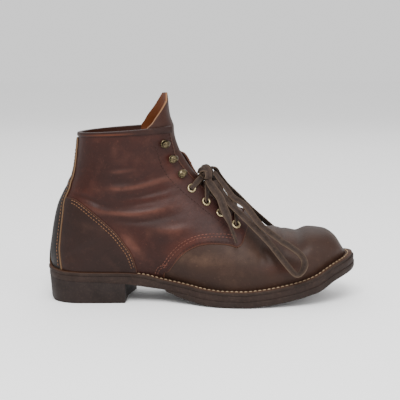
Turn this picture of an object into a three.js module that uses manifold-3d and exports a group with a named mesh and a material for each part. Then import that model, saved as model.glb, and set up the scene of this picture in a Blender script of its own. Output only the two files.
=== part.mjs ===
// A right-foot lace-up work boot: hollow leather upper on a welted, stacked-heel sole.
// Millimetres, +X to the toe, +Y to the inner (medial) side, +Z up.
// The origin is the centre of the heel's flat bottom face.
import * as THREE from "three";
import { mergeVertices } from "three/addons/utils/BufferGeometryUtils.js";
import Module from "manifold-3d";

const wasm = await Module();
wasm.setup();

// Driving sizes of the last and the sole.
const soleLength = 307.5;
const ballWidth = 104;
const heelWidth = 68;
const heelFlatLength = 71;
const heelBevelLength = 7.5;
const heelRise = 15.1;
const toeSpring = 33.3;
const vampHeight = 52;
const instepHeight = 94;
const shaftHeight = 134.5;
const collarRise = 3.5;

// Thicknesses and overhangs.
const weltThickness = 3.2;
const midsoleThickness = 6;
const outsoleThickness = 6.4;
const insoleThickness = 3.5;
const vampWall = 1.8;
const quarterStep = 1.2;
const counterThickness = 1.2;
const backstayThickness = 1.8;
const bindingThickness = 0.9;
const bindingHeight = 5;
const tongueThickness = 2.2;
const weltOverhang = 6.5;
const toeOverhang = 10;
const heelOverhang = 6.5;
const heelTaper = 1.5;
const heelBevelHeight = 4.7;

// Hardware and lace.
const eyeletHole = 5.2;
const eyeletFlange = 9;
const eyeletFlangeHeight = 0.9;
const eyeletWall = 0.5;
const hookBase = 8;
const hookHeight = 4.2;
const hookWidth = 4;
const sheet = 0.9;
const edgeToEyelet = 12;
const laceWidth = 5;
const laceThickness = 1.6;
const laceCordDiameter = 4;
const throatWidth = 29;
const throatLean = 0.4;

// Room left between neighbours, and under the lace.
const gap = 0.3;
const overlayGap = 0.4;
const laceClearance = 0.75;
const hookClearance = 0.5;

// Worked-out levels.
const soleStack = weltThickness + midsoleThickness + outsoleThickness + 2 * gap;
const heelBack = -(heelFlatLength / 2 + heelBevelLength);
const toeTip = heelBack + soleLength;
const outward = 60;

// The sole along its length. lift is a share of heelRise, spring of toeSpring, shank and
// forepart are shares of the midsole's and outsole's thickness, and the half widths are
// shares of ballWidth or heelWidth.
const soleRows = [
  { along: 0.0, lift: 1.22, spring: 0, shank: 0, forepart: 0, of: heelWidth, lateral: 0.5, medial: 0.5 },
  { along: 0.06, lift: 1.07, spring: 0, shank: 0, forepart: 0, of: heelWidth, lateral: 0.505, medial: 0.5 },
  { along: 0.14, lift: 1.0, spring: 0, shank: 0, forepart: 0, of: heelWidth, lateral: 0.507, medial: 0.5 },
  { along: 0.25, lift: 0.98, spring: 0, shank: 0.3, forepart: 0, of: heelWidth, lateral: 0.495, medial: 0.465 },
  { along: 0.31, lift: 0.87, spring: 0, shank: 0.42, forepart: 0, of: heelWidth, lateral: 0.487, medial: 0.43 },
  { along: 0.38, lift: 0.54, spring: 0, shank: 0.05, forepart: 0.26, of: heelWidth, lateral: 0.51, medial: 0.42 },
  { along: 0.45, lift: 0.29, spring: 0, shank: 0, forepart: 0.92, of: ballWidth, lateral: 0.385, medial: 0.315 },
  { along: 0.52, lift: 0.06, spring: 0, shank: 0, forepart: 1, of: ballWidth, lateral: 0.465, medial: 0.4 },
  { along: 0.57, lift: 0, spring: 0, shank: 0, forepart: 1, of: ballWidth, lateral: 0.502, medial: 0.45 },
  { along: 0.63, lift: 0, spring: 0, shank: 0, forepart: 1, of: ballWidth, lateral: 0.519, medial: 0.48 },
  { along: 0.69, lift: 0, spring: 0.05, shank: 0, forepart: 1, of: ballWidth, lateral: 0.513, medial: 0.488 },
  { along: 0.77, lift: 0, spring: 0.17, shank: 0, forepart: 1, of: ballWidth, lateral: 0.482, medial: 0.474 },
  { along: 0.85, lift: 0, spring: 0.36, shank: 0, forepart: 1, of: ballWidth, lateral: 0.438, medial: 0.456 },
  { along: 0.92, lift: 0, spring: 0.69, shank: 0, forepart: 1, of: ballWidth, lateral: 0.415, medial: 0.447 },
  { along: 1.0, lift: 0, spring: 0.94, shank: 0, forepart: 1, of: ballWidth, lateral: 0.405, medial: 0.442 },
];

// How the sole's outline closes at each end, as lengths and the power of the curve.
const toeNoseLength = 62;
const toeNosePower = 2.05;
const heelNoseLength = 33;
const heelNosePower = 2.2;

// The upper's sections, from the toe to the collar and on up the tongue. A section is a
// plane through the last from its front point to its back (or bottom) point.
// frontAlong and backAlong are shares of soleLength. frontLevel runs 0 to 1 over
// vampHeight, 1 to 2 from there to the instep, 2 to 3 to the collar. backLevel is a share
// of shaftHeight. Half widths are shares of ballWidth or heelWidth. widest says how far up
// the section its widest place is, crown is the power of the curve over its top, and ridge
// is how far the top leans to the inner side, as a share of ballWidth.
const sectionRows = [
  { frontAlong: 0.9645, frontLevel: 0.08, backAlong: 0.9645, backLevel: 0, of: ballWidth, lateral: 0.072, medial: 0.084, widest: 0.45, crown: 2.3, ridge: 0.02 },
  { frontAlong: 0.955, frontLevel: 0.19, backAlong: 0.955, backLevel: 0, of: ballWidth, lateral: 0.149, medial: 0.156, widest: 0.42, crown: 2.3, ridge: 0.02 },
  { frontAlong: 0.933, frontLevel: 0.42, backAlong: 0.933, backLevel: 0, of: ballWidth, lateral: 0.232, medial: 0.238, widest: 0.4, crown: 2.3, ridge: 0.02 },
  { frontAlong: 0.898, frontLevel: 0.63, backAlong: 0.898, backLevel: 0, of: ballWidth, lateral: 0.317, medial: 0.324, widest: 0.36, crown: 2.3, ridge: 0.025 },
  { frontAlong: 0.852, frontLevel: 0.795, backAlong: 0.852, backLevel: 0, of: ballWidth, lateral: 0.383, medial: 0.389, widest: 0.33, crown: 2.35, ridge: 0.03 },
  { frontAlong: 0.8065, frontLevel: 0.815, backAlong: 0.8065, backLevel: 0, of: ballWidth, lateral: 0.42, medial: 0.415, widest: 0.3, crown: 2.2, ridge: 0.04 },
  { frontAlong: 0.7545, frontLevel: 0.93, backAlong: 0.7545, backLevel: 0, of: ballWidth, lateral: 0.447, medial: 0.43, widest: 0.28, crown: 2.0, ridge: 0.045 },
  { frontAlong: 0.709, frontLevel: 1.0, backAlong: 0.702, backLevel: 0, of: ballWidth, lateral: 0.464, medial: 0.436, widest: 0.25, crown: 1.9, ridge: 0.05 },
  { frontAlong: 0.662, frontLevel: 1.3, backAlong: 0.641, backLevel: 0, of: ballWidth, lateral: 0.466, medial: 0.43, widest: 0.24, crown: 1.8, ridge: 0.05 },
  { frontAlong: 0.611, frontLevel: 1.63, backAlong: 0.566, backLevel: 0, of: ballWidth, lateral: 0.448, medial: 0.404, widest: 0.24, crown: 1.75, ridge: 0.05 },
  { frontAlong: 0.546, frontLevel: 2.0, backAlong: 0.468, backLevel: 0, of: ballWidth, lateral: 0.404, medial: 0.366, widest: 0.25, crown: 1.75, ridge: 0.04 },
  { frontAlong: 0.494, frontLevel: 2.21, backAlong: 0.345, backLevel: 0, of: heelWidth, lateral: 0.552, medial: 0.515, widest: 0.28, crown: 1.8, ridge: 0.03 },
  { frontAlong: 0.465, frontLevel: 2.38, backAlong: 0.195, backLevel: 0, of: heelWidth, lateral: 0.507, medial: 0.493, widest: 0.3, crown: 1.85, ridge: 0.02 },
  { frontAlong: 0.447, frontLevel: 2.52, backAlong: 0.0715, backLevel: 0, of: heelWidth, lateral: 0.493, medial: 0.485, widest: 0.31, crown: 1.9, ridge: 0.02 },
  { frontAlong: 0.4374, frontLevel: 2.6, backAlong: 0.0218, backLevel: 0, of: heelWidth, lateral: 0.485, medial: 0.478, widest: 0.33, crown: 2.0, ridge: 0.015 },
  { frontAlong: 0.4332, frontLevel: 2.65, backAlong: 0.0143, backLevel: 0.089, of: heelWidth, lateral: 0.478, medial: 0.478, widest: 0.38, crown: 2.0, ridge: 0.015 },
  { frontAlong: 0.4286, frontLevel: 2.71, backAlong: 0.0228, backLevel: 0.253, of: heelWidth, lateral: 0.47, medial: 0.47, widest: 0.42, crown: 2.05, ridge: 0.01 },
  { frontAlong: 0.4237, frontLevel: 2.78, backAlong: 0.0403, backLevel: 0.442, of: heelWidth, lateral: 0.456, medial: 0.456, widest: 0.46, crown: 2.1, ridge: 0.01 },
  { frontAlong: 0.4202, frontLevel: 2.85, backAlong: 0.0657, backLevel: 0.576, of: heelWidth, lateral: 0.449, medial: 0.449, widest: 0.48, crown: 2.15, ridge: 0.01 },
  { frontAlong: 0.4182, frontLevel: 2.915, backAlong: 0.0943, backLevel: 0.743, of: heelWidth, lateral: 0.456, medial: 0.456, widest: 0.5, crown: 2.2, ridge: 0.01 },
  { frontAlong: 0.4172, frontLevel: 3.0, backAlong: 0.1073, backLevel: 1.0, of: heelWidth, lateral: 0.471, medial: 0.471, widest: 0.5, crown: 2.2, ridge: 0.01 },
  { frontAlong: 0.4049, frontLevel: 3.184, backAlong: 0.1008, backLevel: 1.1, of: heelWidth, lateral: 0.471, medial: 0.471, widest: 0.5, crown: 2.2, ridge: 0.01 },
  { frontAlong: 0.391, frontLevel: 3.54, backAlong: 0.0878, backLevel: 1.22, of: heelWidth, lateral: 0.46, medial: 0.46, widest: 0.5, crown: 2.2, ridge: 0.01 },
];
const heelRow = 14;
const collarRow = 20;
const lastRow = sectionRows.length - 1;

// A smooth curve through a table that never swings past its own rows.
function curveThrough(at, values) {
  const slopes = values.slice(1).map((v, i) => (v - values[i]) / (at[i + 1] - at[i]));
  const tangents = values.map((_, i) => {
    const before = slopes[i - 1] ?? slopes[i];
    const after = slopes[i] ?? slopes[i - 1];
    return before * after <= 0 ? 0 : (2 * before * after) / (before + after);
  });
  return (x) => {
    const last = at.length - 2;
    const k = Math.min(Math.max(at.findIndex((a, i) => i > 0 && x < a) - 1, x < at[1] ? 0 : -1), last);
    const i = k < 0 ? last : k;
    const h = at[i + 1] - at[i];
    const t = Math.min(Math.max((x - at[i]) / h, 0), 1);
    const t2 = t * t;
    const t3 = t2 * t;
    return (
      values[i] * (2 * t3 - 3 * t2 + 1) +
      tangents[i] * h * (t3 - 2 * t2 + t) +
      values[i + 1] * (3 * t2 - 2 * t3) +
      tangents[i + 1] * h * (t3 - t2)
    );
  };
}

const soleColumn = (value) =>
  curveThrough(soleRows.map((row) => row.along), soleRows.map(value));
const soleTopAt = soleColumn((row) => soleStack + row.lift * heelRise + row.spring * toeSpring);
const soleLateralAt = soleColumn((row) => row.lateral * row.of);
const soleMedialAt = soleColumn((row) => row.medial * row.of);
const shankAt = soleColumn((row) => row.shank * midsoleThickness);
const forepartAt = soleColumn((row) => row.forepart * outsoleThickness);

const alongOf = (x) => (x - heelBack) / soleLength;
const xOf = (along) => heelBack + along * soleLength;
const topZ = (x) => soleTopAt(Math.min(Math.max(alongOf(x), 0), 1));

// A layer's thickness is square to the sole, so its height grows with the slope.
function stretchAt(x) {
  const step = 1;
  const slope = (topZ(x + step) - topZ(x - step)) / (2 * step);
  return Math.sqrt(1 + slope * slope);
}
const depthZ = (x, depth) => topZ(x) - depth * stretchAt(x);

// Half widths of the sole's outline at x, drawn in by inset at the sides and by its own
// amounts at the toe and at the heel.
function outlineAt(x, inset, toeInset, heelInset) {
  const along = alongOf(x);
  const toe = toeTip - toeInset;
  const back = heelBack + heelInset;
  const nose = (reach, length, power) => {
    const u = Math.min(Math.max(1 - reach / length, 0), 1);
    return Math.pow(Math.max(1 - Math.pow(u, power), 0), 1 / power);
  };
  const round =
    nose(toe - x, toeNoseLength - toeInset / 2, toeNosePower) *
    nose(x - back, heelNoseLength - heelInset / 2, heelNosePower);
  const lateral = soleLateralAt(along) - inset;
  const medial = soleMedialAt(along) - inset;
  const centre = (medial - lateral) / 2;
  const half = ((medial + lateral) / 2) * round;
  return { lateral: centre - half, medial: centre + half, half };
}

// The seam where the upper meets the welt: wide overhang at the forefoot, narrow behind.
function featherAt(x) {
  const along = alongOf(x);
  const share = THREE.MathUtils.smoothstep(along, 0.15, 0.5);
  const inset = THREE.MathUtils.lerp(weltOverhang * 0.55, weltOverhang, share);
  return outlineAt(x, inset, toeOverhang, heelOverhang);
}

// The sections in millimetres, then as smooth curves over the row number.
const breakZ = topZ(xOf(sectionRows[7].frontAlong)) + vampHeight;
const instepZ = soleStack + instepHeight;
const collarZ = topZ(heelBack) + shaftHeight + collarRise;
function frontHeight(row) {
  if (row.frontLevel <= 1) return topZ(xOf(row.frontAlong)) + row.frontLevel * vampHeight;
  if (row.frontLevel <= 2) return THREE.MathUtils.lerp(breakZ, instepZ, row.frontLevel - 1);
  return instepZ + (row.frontLevel - 2) * (collarZ - instepZ);
}
const sectionColumn = (value) =>
  curveThrough(sectionRows.map((_, i) => i), sectionRows.map(value));
const frontXAt = sectionColumn((row) => xOf(row.frontAlong));
const frontZAt = sectionColumn(frontHeight);
const backXAt = sectionColumn((row) => xOf(row.backAlong));
const backZAt = sectionColumn((row) => topZ(xOf(row.backAlong)) + row.backLevel * shaftHeight);
const lateralAt = sectionColumn((row) => row.lateral * row.of);
const medialAt = sectionColumn((row) => row.medial * row.of);
const widestAt = sectionColumn((row) => row.widest);
const crownAt = sectionColumn((row) => row.crown);
const ridgeAt = sectionColumn((row) => row.ridge * ballWidth);

// The last's surface. row picks the section, and side runs from -1 at the back or bottom
// on the lateral side, over 0 at the front, to 1 on the medial side.
function sectionShare(side) {
  return (1 + Math.cos(Math.PI * side)) / 2;
}
function halfWidth(row, share, side) {
  const full = side < 0 ? lateralAt(row) : medialAt(row);
  const widest = widestAt(row);
  if (share >= widest) {
    const u = (share - widest) / (1 - widest);
    const crown = crownAt(row);
    return full * Math.pow(Math.max(1 - Math.pow(u, crown), 0), 1 / crown);
  }
  const foot = row >= heelRow ? 0 : featherAt(backXAt(row)).half;
  const v = share / widest;
  const round = Math.sqrt(1 - (1 - v) * (1 - v));
  const sole = Math.min(foot / full, 1);
  const bulge = sole + (1 - sole) * Math.sin((Math.PI / 2) * v);
  const open = THREE.MathUtils.smoothstep(sole, 0, 0.6);
  return full * THREE.MathUtils.lerp(round, bulge, open);
}
function centreAt(row, share) {
  const seat = row >= heelRow ? 0 : featherAt(backXAt(row));
  const low = seat ? (seat.lateral + seat.medial) / 2 : 0;
  return THREE.MathUtils.lerp(low, ridgeAt(row), share);
}
function surfacePoint(row, side) {
  const share = sectionShare(side);
  const x = THREE.MathUtils.lerp(backXAt(row), frontXAt(row), share);
  const z = THREE.MathUtils.lerp(backZAt(row), frontZAt(row), share);
  const y = centreAt(row, share) + Math.sign(side) * halfWidth(row, share, side);
  return new THREE.Vector3(x, y, z);
}
function surfaceNormal(row, side) {
  if (Math.abs(side) > 0.97 && row >= heelRow) {
    const both = normalInside(row, 0.96).add(normalInside(row, -0.96));
    return both.normalize();
  }
  return normalInside(row, THREE.MathUtils.clamp(side, -0.96, 0.96));
}
function normalInside(row, side) {
  const rowStep = 0.35;
  const sideStep = 0.02;
  const low = Math.max(row - rowStep, 0);
  const high = Math.min(row + rowStep, lastRow);
  const alongRows = surfacePoint(high, side).sub(surfacePoint(low, side));
  const acrossSides = surfacePoint(row, side + sideStep).sub(surfacePoint(row, side - sideStep));
  return alongRows.cross(acrossSides).normalize().negate();
}
function skinPoint(row, side, offset) {
  return surfacePoint(row, side).addScaledVector(surfaceNormal(row, side), offset);
}

// Solids from rings of points, closed with pairs of points at both ends.
function solidOf(points, triangles) {
  const geometry = new THREE.BufferGeometry();
  geometry.setAttribute("position", new THREE.Float32BufferAttribute(points.flatMap((p) => [p.x, p.y, p.z]), 3));
  geometry.setIndex(triangles);
  return solidFromGeometry(geometry);
}
function solidFromGeometry(geometry) {
  const bare = geometry.clone();
  bare.deleteAttribute("normal");
  bare.deleteAttribute("uv");
  const merged = mergeVertices(bare, 1e-4);
  const index = merged.index.array;
  const kept = [];
  for (let i = 0; i < index.length; i += 3) {
    const [a, b, c] = [index[i], index[i + 1], index[i + 2]];
    if (a !== b && b !== c && a !== c) kept.push(a, b, c);
  }
  return new wasm.Manifold(
    new wasm.Mesh({
      numProp: 3,
      vertProperties: new Float32Array(merged.attributes.position.array),
      triVerts: new Uint32Array(kept),
    }),
  );
}
function loft(rings) {
  const count = rings[0].length;
  const points = rings.flat();
  const triangles = [];
  for (let r = 0; r + 1 < rings.length; r++) {
    for (let j = 0; j < count; j++) {
      const a = r * count + j;
      const b = r * count + ((j + 1) % count);
      triangles.push(a, b, b + count, a, b + count, a + count);
    }
  }
  const lastStart = (rings.length - 1) * count;
  for (let i = 0; i < Math.floor(count / 2); i++) {
    const far = count - 1 - i;
    if (i + 1 > far - 1) continue;
    triangles.push(far, i + 1, i);
    triangles.push(lastStart + i, lastStart + i + 1, lastStart + far);
    if (i + 1 < far - 1) {
      triangles.push(far, far - 1, i + 1);
      triangles.push(lastStart + i + 1, lastStart + far - 1, lastStart + far);
    }
  }
  if (signedVolume(points, triangles) < 0) triangles.reverse();
  return solidOf(points, triangles);
}
function signedVolume(points, triangles) {
  let six = 0;
  for (let i = 0; i < triangles.length; i += 3) {
    const [a, b, c] = [points[triangles[i]], points[triangles[i + 1]], points[triangles[i + 2]]];
    six += a.dot(new THREE.Vector3().crossVectors(b, c));
  }
  return six;
}

// One grid of rows and sides serves every larger and smaller form, so the gaps between
// them stay even.
const sideSteps = 18;
const sides = Array.from({ length: sideSteps + 1 }, (_, j) => -1 + (2 * j) / sideSteps);
const gridRows = [
  ...Array.from({ length: 9 }, (_, i) => i),
  ...Array.from({ length: 5 }, (_, i) => 9 + i),
  9.5, 10.5, 11.4,
  13.35, 13.6, 13.8, 13.92,
  ...Array.from({ length: lastRow - heelRow + 1 }, (_, i) => heelRow + i),
].sort((a, b) => a - b);
const rowsBetween = (from, to) => [from, ...gridRows.filter((r) => r > from + 0.02 && r < to - 0.02), to];
const skirtDepth = 12;
function form(offset, from = 0, to = lastRow) {
  return loft(
    rowsBetween(from, to).map((row) => {
      const ring = sides.map((side) => skinPoint(row, side, offset));
      const drop = row >= heelRow ? 0 : skirtDepth;
      const foot = [ring[0].clone(), ring[ring.length - 1].clone()];
      foot.forEach((p) => {
        p.z -= drop;
      });
      return [foot[0], ...ring, foot[1]];
    }),
  );
}

// A block between two sole curves, cut to an outline. Its sides may lean in downwards. All
// blocks share one set of stations, so the room between their curves stays even.
const stationCount = 38;
const steepestLean = 0.4;
const stations = Array.from({ length: stationCount + 1 }, (_, i) =>
  xOf((1 - Math.cos((Math.PI * i) / stationCount)) / 2));
function layer(low, high, outline, from, to, taper = 0) {
  const clearOfEnds = 0.05;
  const inner = stations.filter((x) => x > from + clearOfEnds && x < to - clearOfEnds);
  const rings = [];
  for (const x of [from, ...inner, to]) {
    const edge = outline(x);
    const lean = Math.min(taper, edge.half * steepestLean);
    rings.push([
      new THREE.Vector3(x, edge.lateral + lean, low(x)),
      new THREE.Vector3(x, edge.lateral, high(x)),
      new THREE.Vector3(x, edge.medial, high(x)),
      new THREE.Vector3(x, edge.medial - lean, low(x)),
    ]);
  }
  return loft(rings);
}

// Outlines drawn in a view and pushed through the boot.
function prismAcross(points, from, to) {
  const shape = new THREE.Shape(points.map(([x, z]) => new THREE.Vector2(x, z)));
  const geometry = new THREE.ExtrudeGeometry(shape, { depth: to - from, bevelEnabled: false });
  geometry.rotateX(Math.PI / 2);
  geometry.translate(0, to, 0);
  return solidFromGeometry(geometry);
}
function prismAlong(points, from, to) {
  const shape = new THREE.Shape(points.map(([y, z]) => new THREE.Vector2(y, z)));
  const geometry = new THREE.ExtrudeGeometry(shape, { depth: to - from, bevelEnabled: false });
  geometry.rotateX(Math.PI / 2);
  geometry.rotateZ(Math.PI / 2);
  geometry.translate(from, 0, 0);
  return solidFromGeometry(geometry);
}

// Sole plates from the welt down, as depths below the welt's top.
const midsoleTop = weltThickness + gap;
const midsoleBottom = (x) => midsoleTop + midsoleThickness + shankAt(alongOf(x));
const forepartTop = (x) => midsoleBottom(x) + gap;
const edgeStep = 0.7;
const weltTipStep = 2.2;
const weltOutline = (x) => outlineAt(x, 0, weltTipStep, 0);
const midsoleOutline = (x) => outlineAt(x, edgeStep, edgeStep, edgeStep);
const outsoleOutline = (x) => outlineAt(x, edgeStep / 2, 0, 0);
const heelOutline = (x) => outlineAt(x, edgeStep, 0, edgeStep * 1.5);
const wideOutline = () => ({ lateral: -outward * 1.5, medial: outward * 1.5, half: outward * 1.5 });

// The heel's breast in plan: square across, with its inner corner reaching forward.
const breastX = heelFlatLength / 2;
const breastReach = 6;
const outsoleSetback = 39.5;
const outsoleStart = breastX + outsoleSetback;

function breastCutter() {
  const half = heelWidth / 2;
  const front = breastX + soleLength;
  const plan = [
    [breastX, -heelWidth], [front, -heelWidth], [front, heelWidth],
    [breastX + breastReach * 1.6, heelWidth], [breastX + breastReach, half * 0.85],
    [breastX + breastReach * 0.35, half * 0.4], [breastX, 0],
  ];
  const shape = new THREE.Shape(plan.map(([x, y]) => new THREE.Vector2(x, y)));
  const geometry = new THREE.ExtrudeGeometry(shape, { depth: outward * 2, bevelEnabled: false });
  geometry.translate(0, 0, -outward);
  return solidFromGeometry(geometry);
}
function heelBevelCutter() {
  const start = -heelFlatLength / 2;
  const points = [
    [start, 0], [heelBack, heelBevelHeight], [heelBack - outward, heelBevelHeight * 3],
    [heelBack - outward, -outward], [start, -outward],
  ];
  return prismAcross(points, -outward, outward);
}

const below = (depth) => layer(() => -outward, (x) => depthZ(x, depth), wideOutline, heelBack - outward, toeTip + outward);

const welt = layer(
  (x) => depthZ(x, weltThickness),
  (x) => topZ(x),
  weltOutline, heelBack, toeTip - weltTipStep,
);
const midsole = layer(
  (x) => depthZ(x, midsoleBottom(x)),
  (x) => depthZ(x, midsoleTop),
  midsoleOutline, heelBack + edgeStep, toeTip - edgeStep,
);
const outsole = layer(
  (x) => depthZ(x, forepartTop(x) + forepartAt(alongOf(x))),
  (x) => depthZ(x, forepartTop(x)),
  outsoleOutline, outsoleStart, toeTip,
);
const heelBlock = layer(
  () => 0,
  (x) => depthZ(x, forepartTop(x)),
  heelOutline, heelBack + edgeStep * 1.5, breastX + breastReach * 3, heelTaper,
).subtract(breastCutter()).subtract(heelBevelCutter());

// Half the distance between the facings by section row, as shares of throatWidth, and how
// the vamp's own opening starts below them.
const facingRows = [
  { row: 7.7, share: 0.84 }, { row: 8.2, share: 0.79 }, { row: 9, share: 0.67 },
  { row: 10, share: 0.52 }, { row: 11, share: 0.4 }, { row: 12, share: 0.365 },
  { row: 13.2, share: 0.36 }, { row: 15, share: 0.4 }, { row: 17.35, share: 0.45 },
  { row: collarRow, share: 0.55 }, { row: lastRow, share: 0.55 },
];
const openingRows = [
  { row: 8.45, share: 0.12 }, { row: 8.52, share: 0.28 }, { row: 8.7, share: 0.45 },
  { row: 9, share: 0.58 }, { row: 9.5, share: 0.7 },
];
const tableOf = (rows, key) => curveThrough(rows.map((r) => r.row), rows.map((r) => r[key]));
const facingShare = tableOf(facingRows, "share");
const openingShare = tableOf(openingRows, "share");
const throatHalfAt = (row) => throatWidth * facingShare(row);
const openingHalfAt = (row) => throatWidth * Math.min(facingShare(row), openingShare(row));
const throatMiddleAt = (row) => throatLean * ridgeAt(row);
const withHalfRows = (rows) =>
  rows.flatMap((r, i) => (i + 1 < rows.length ? [r.row, (r.row + rows[i + 1].row) / 2] : [r.row]));
// How far down each side the tongue reaches, as shares of the section from its back.
const tongueRows = [
  { row: 7.55, lateral: 0.86, medial: 0.86 }, { row: 8.5, lateral: 0.78, medial: 0.78 },
  { row: 10, lateral: 0.72, medial: 0.72 }, { row: 14, lateral: 0.7, medial: 0.67 },
  { row: 18, lateral: 0.72, medial: 0.65 }, { row: 20, lateral: 0.73, medial: 0.63 },
  { row: 20.5, lateral: 0.81, medial: 0.7 }, { row: 21, lateral: 0.9, medial: 0.78 },
  { row: 21.5, lateral: 0.965, medial: 0.87 }, { row: 22, lateral: 0.985, medial: 0.955 },
];
// A wedge through the front of the sections, between two shares and two widths.
function frontWedge(rows, ringOf) {
  return loft(
    rows.map((row) => {
      const back = new THREE.Vector3(backXAt(row), 0, backZAt(row));
      const front = new THREE.Vector3(frontXAt(row), 0, frontZAt(row));
      return ringOf(row).map(([share, y]) => {
        const p = new THREE.Vector3().lerpVectors(back, front, share);
        p.y = y;
        return p;
      });
    }),
  );
}
const throatDepth = 0.72;
const beyondFront = 1.25;
function throatWedge(rows, halfAt) {
  return frontWedge(withHalfRows(rows), (row) => {
    const left = throatMiddleAt(row) - halfAt(row);
    const right = throatMiddleAt(row) + halfAt(row);
    return [[throatDepth, left], [beyondFront, left], [beyondFront, right], [throatDepth, right]];
  });
}
const betweenFacings = throatWedge(facingRows, throatHalfAt);
const throat = throatWedge([...openingRows, ...facingRows.filter((r) => r.row > 9.5)], openingHalfAt);
const tongueLateral = tableOf(tongueRows, "lateral");
const tongueMedial = tableOf(tongueRows, "medial");
const tongueWedge = frontWedge(withHalfRows(tongueRows), (row) => [
  [tongueLateral(row), -outward], [beyondFront, -outward],
  [beyondFront, outward], [tongueMedial(row), outward],
]);

// Panel outlines seen from the side: along as a share of soleLength, and up as a share of
// vampHeight above the ball, or of shaftHeight above the heel's seat.
const vampSeam = [
  [0.381, -0.5], [0.381, 0.233], [0.394, 0.31], [0.41, 0.454], [0.423, 0.563], [0.441, 0.675],
  [0.462, 0.76], [0.488, 0.83], [0.522, 0.86], [0.566, 0.854], [0.592, 0.83], [0.611, 0.79],
  [0.626, 0.852], [0.637, 1.0], [0.649, 1.177], [0.654, 1.33],
];
const counterSeam = [
  [0.0735, 0.533], [0.1037, 0.526], [0.1376, 0.478], [0.171, 0.415], [0.198, 0.359],
  [0.2315, 0.287], [0.2585, 0.208], [0.2774, 0.1435], [0.289, 0.065], [0.294, -0.02], [0.294, -0.3],
];
const backstayEdge = [
  { half: 0.38, up: -0.025 }, { half: 0.353, up: 0.065 }, { half: 0.3, up: 0.213 },
  { half: 0.265, up: 0.4 }, { half: 0.22, up: 0.51 }, { half: 0.19, up: 0.6 },
  { half: 0.147, up: 0.674 }, { half: 0.11, up: 0.77 }, { half: 0.096, up: 0.88 },
];
const heelSeat = soleStack + heelRise;
const quarterPrism = (shift) =>
  prismAcross(
    [
      ...vampSeam.map(([along, up]) => [xOf(along) + shift, soleStack + up * vampHeight]),
      [xOf(0.654) + shift, collarZ + outward], [heelBack - outward, collarZ + outward],
      [heelBack - outward, -outward], [xOf(0.381) + shift, -outward],
    ],
    -outward * 1.5, outward * 1.5,
  );
const counterPrism = prismAcross(
  [
    ...counterSeam.map(([along, up]) => [xOf(along), heelSeat + up * shaftHeight]),
    [heelBack - outward, heelSeat - 0.3 * shaftHeight],
    [heelBack - outward, heelSeat + 0.533 * shaftHeight],
  ],
  -outward, outward,
);
const backstayReach = 0.62;
function backstayPrism(grow) {
  const right = backstayEdge.map((e) => [e.half * heelWidth + grow, heelSeat + e.up * shaftHeight]);
  const first = right[0];
  const last = right[right.length - 1];
  const side = [[first[0], -outward], ...right, [last[0], collarZ + outward]];
  const outline = [...side, ...side.map(([y, z]) => [-y, z]).reverse()];
  return prismAlong(outline, heelBack - outward, heelBack + backstayReach * heelWidth);
}

// A band of the shaft, measured square across from the line of the collar.
function collarBand(low, high) {
  const back = [backXAt(collarRow), backZAt(collarRow)];
  const slope = (frontZAt(collarRow) - back[1]) / (frontXAt(collarRow) - back[0]);
  const reach = outward * 2;
  const line = (x, up) => [x, back[1] + (x - back[0]) * slope + up];
  return prismAcross([line(-reach, low), line(reach, low), line(reach, high), line(-reach, high)], -reach, reach);
}

const outerVamp = form(0, 0, collarRow);
const outerQuarter = form(quarterStep, 0, collarRow);
const cavity = form(-vampWall);
const outerGap = form(quarterStep + gap);
const overlaySeat = form(quarterStep + overlayGap).add(outerGap).add(outerQuarter);
const vampGap = form(gap);

// Where a ring of the quarter's surface lies a given distance behind the facing's edge.
function behindFacing(row, sign, distance) {
  const step = 0.004;
  let side = 0;
  while (Math.abs(skinPoint(row, sign * side, quarterStep).y - throatMiddleAt(row)) < throatHalfAt(row)) {
    side += step;
  }
  let travelled = 0;
  let before = skinPoint(row, sign * side, quarterStep);
  while (travelled < distance) {
    side += step;
    const next = skinPoint(row, sign * side, quarterStep);
    travelled += next.distanceTo(before);
    before = next;
  }
  return sign * side;
}
function seatFrame(row, side, spin = 0) {
  const point = skinPoint(row, side, quarterStep);
  const normal = surfaceNormal(row, side);
  const up = new THREE.Vector3(0, 0, 1);
  const across = new THREE.Vector3().crossVectors(up, normal).normalize();
  const along = new THREE.Vector3().crossVectors(normal, across);
  return new THREE.Matrix4()
    .makeBasis(across, along, normal)
    .setPosition(point)
    .multiply(new THREE.Matrix4().makeRotationZ(spin));
}
const eyeletRows = [11.15, 10.3, 9.62, 8.9];
const hookRows = [{ row: 17.9, share: 0.95 }, { row: 14.4, share: 0.66 }, { row: 12.15, share: 0.7 }];
const roundSides = 8;
const barrelOuter = eyeletHole / 2 + eyeletWall;
const quarterWall = vampWall + quarterStep;

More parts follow.
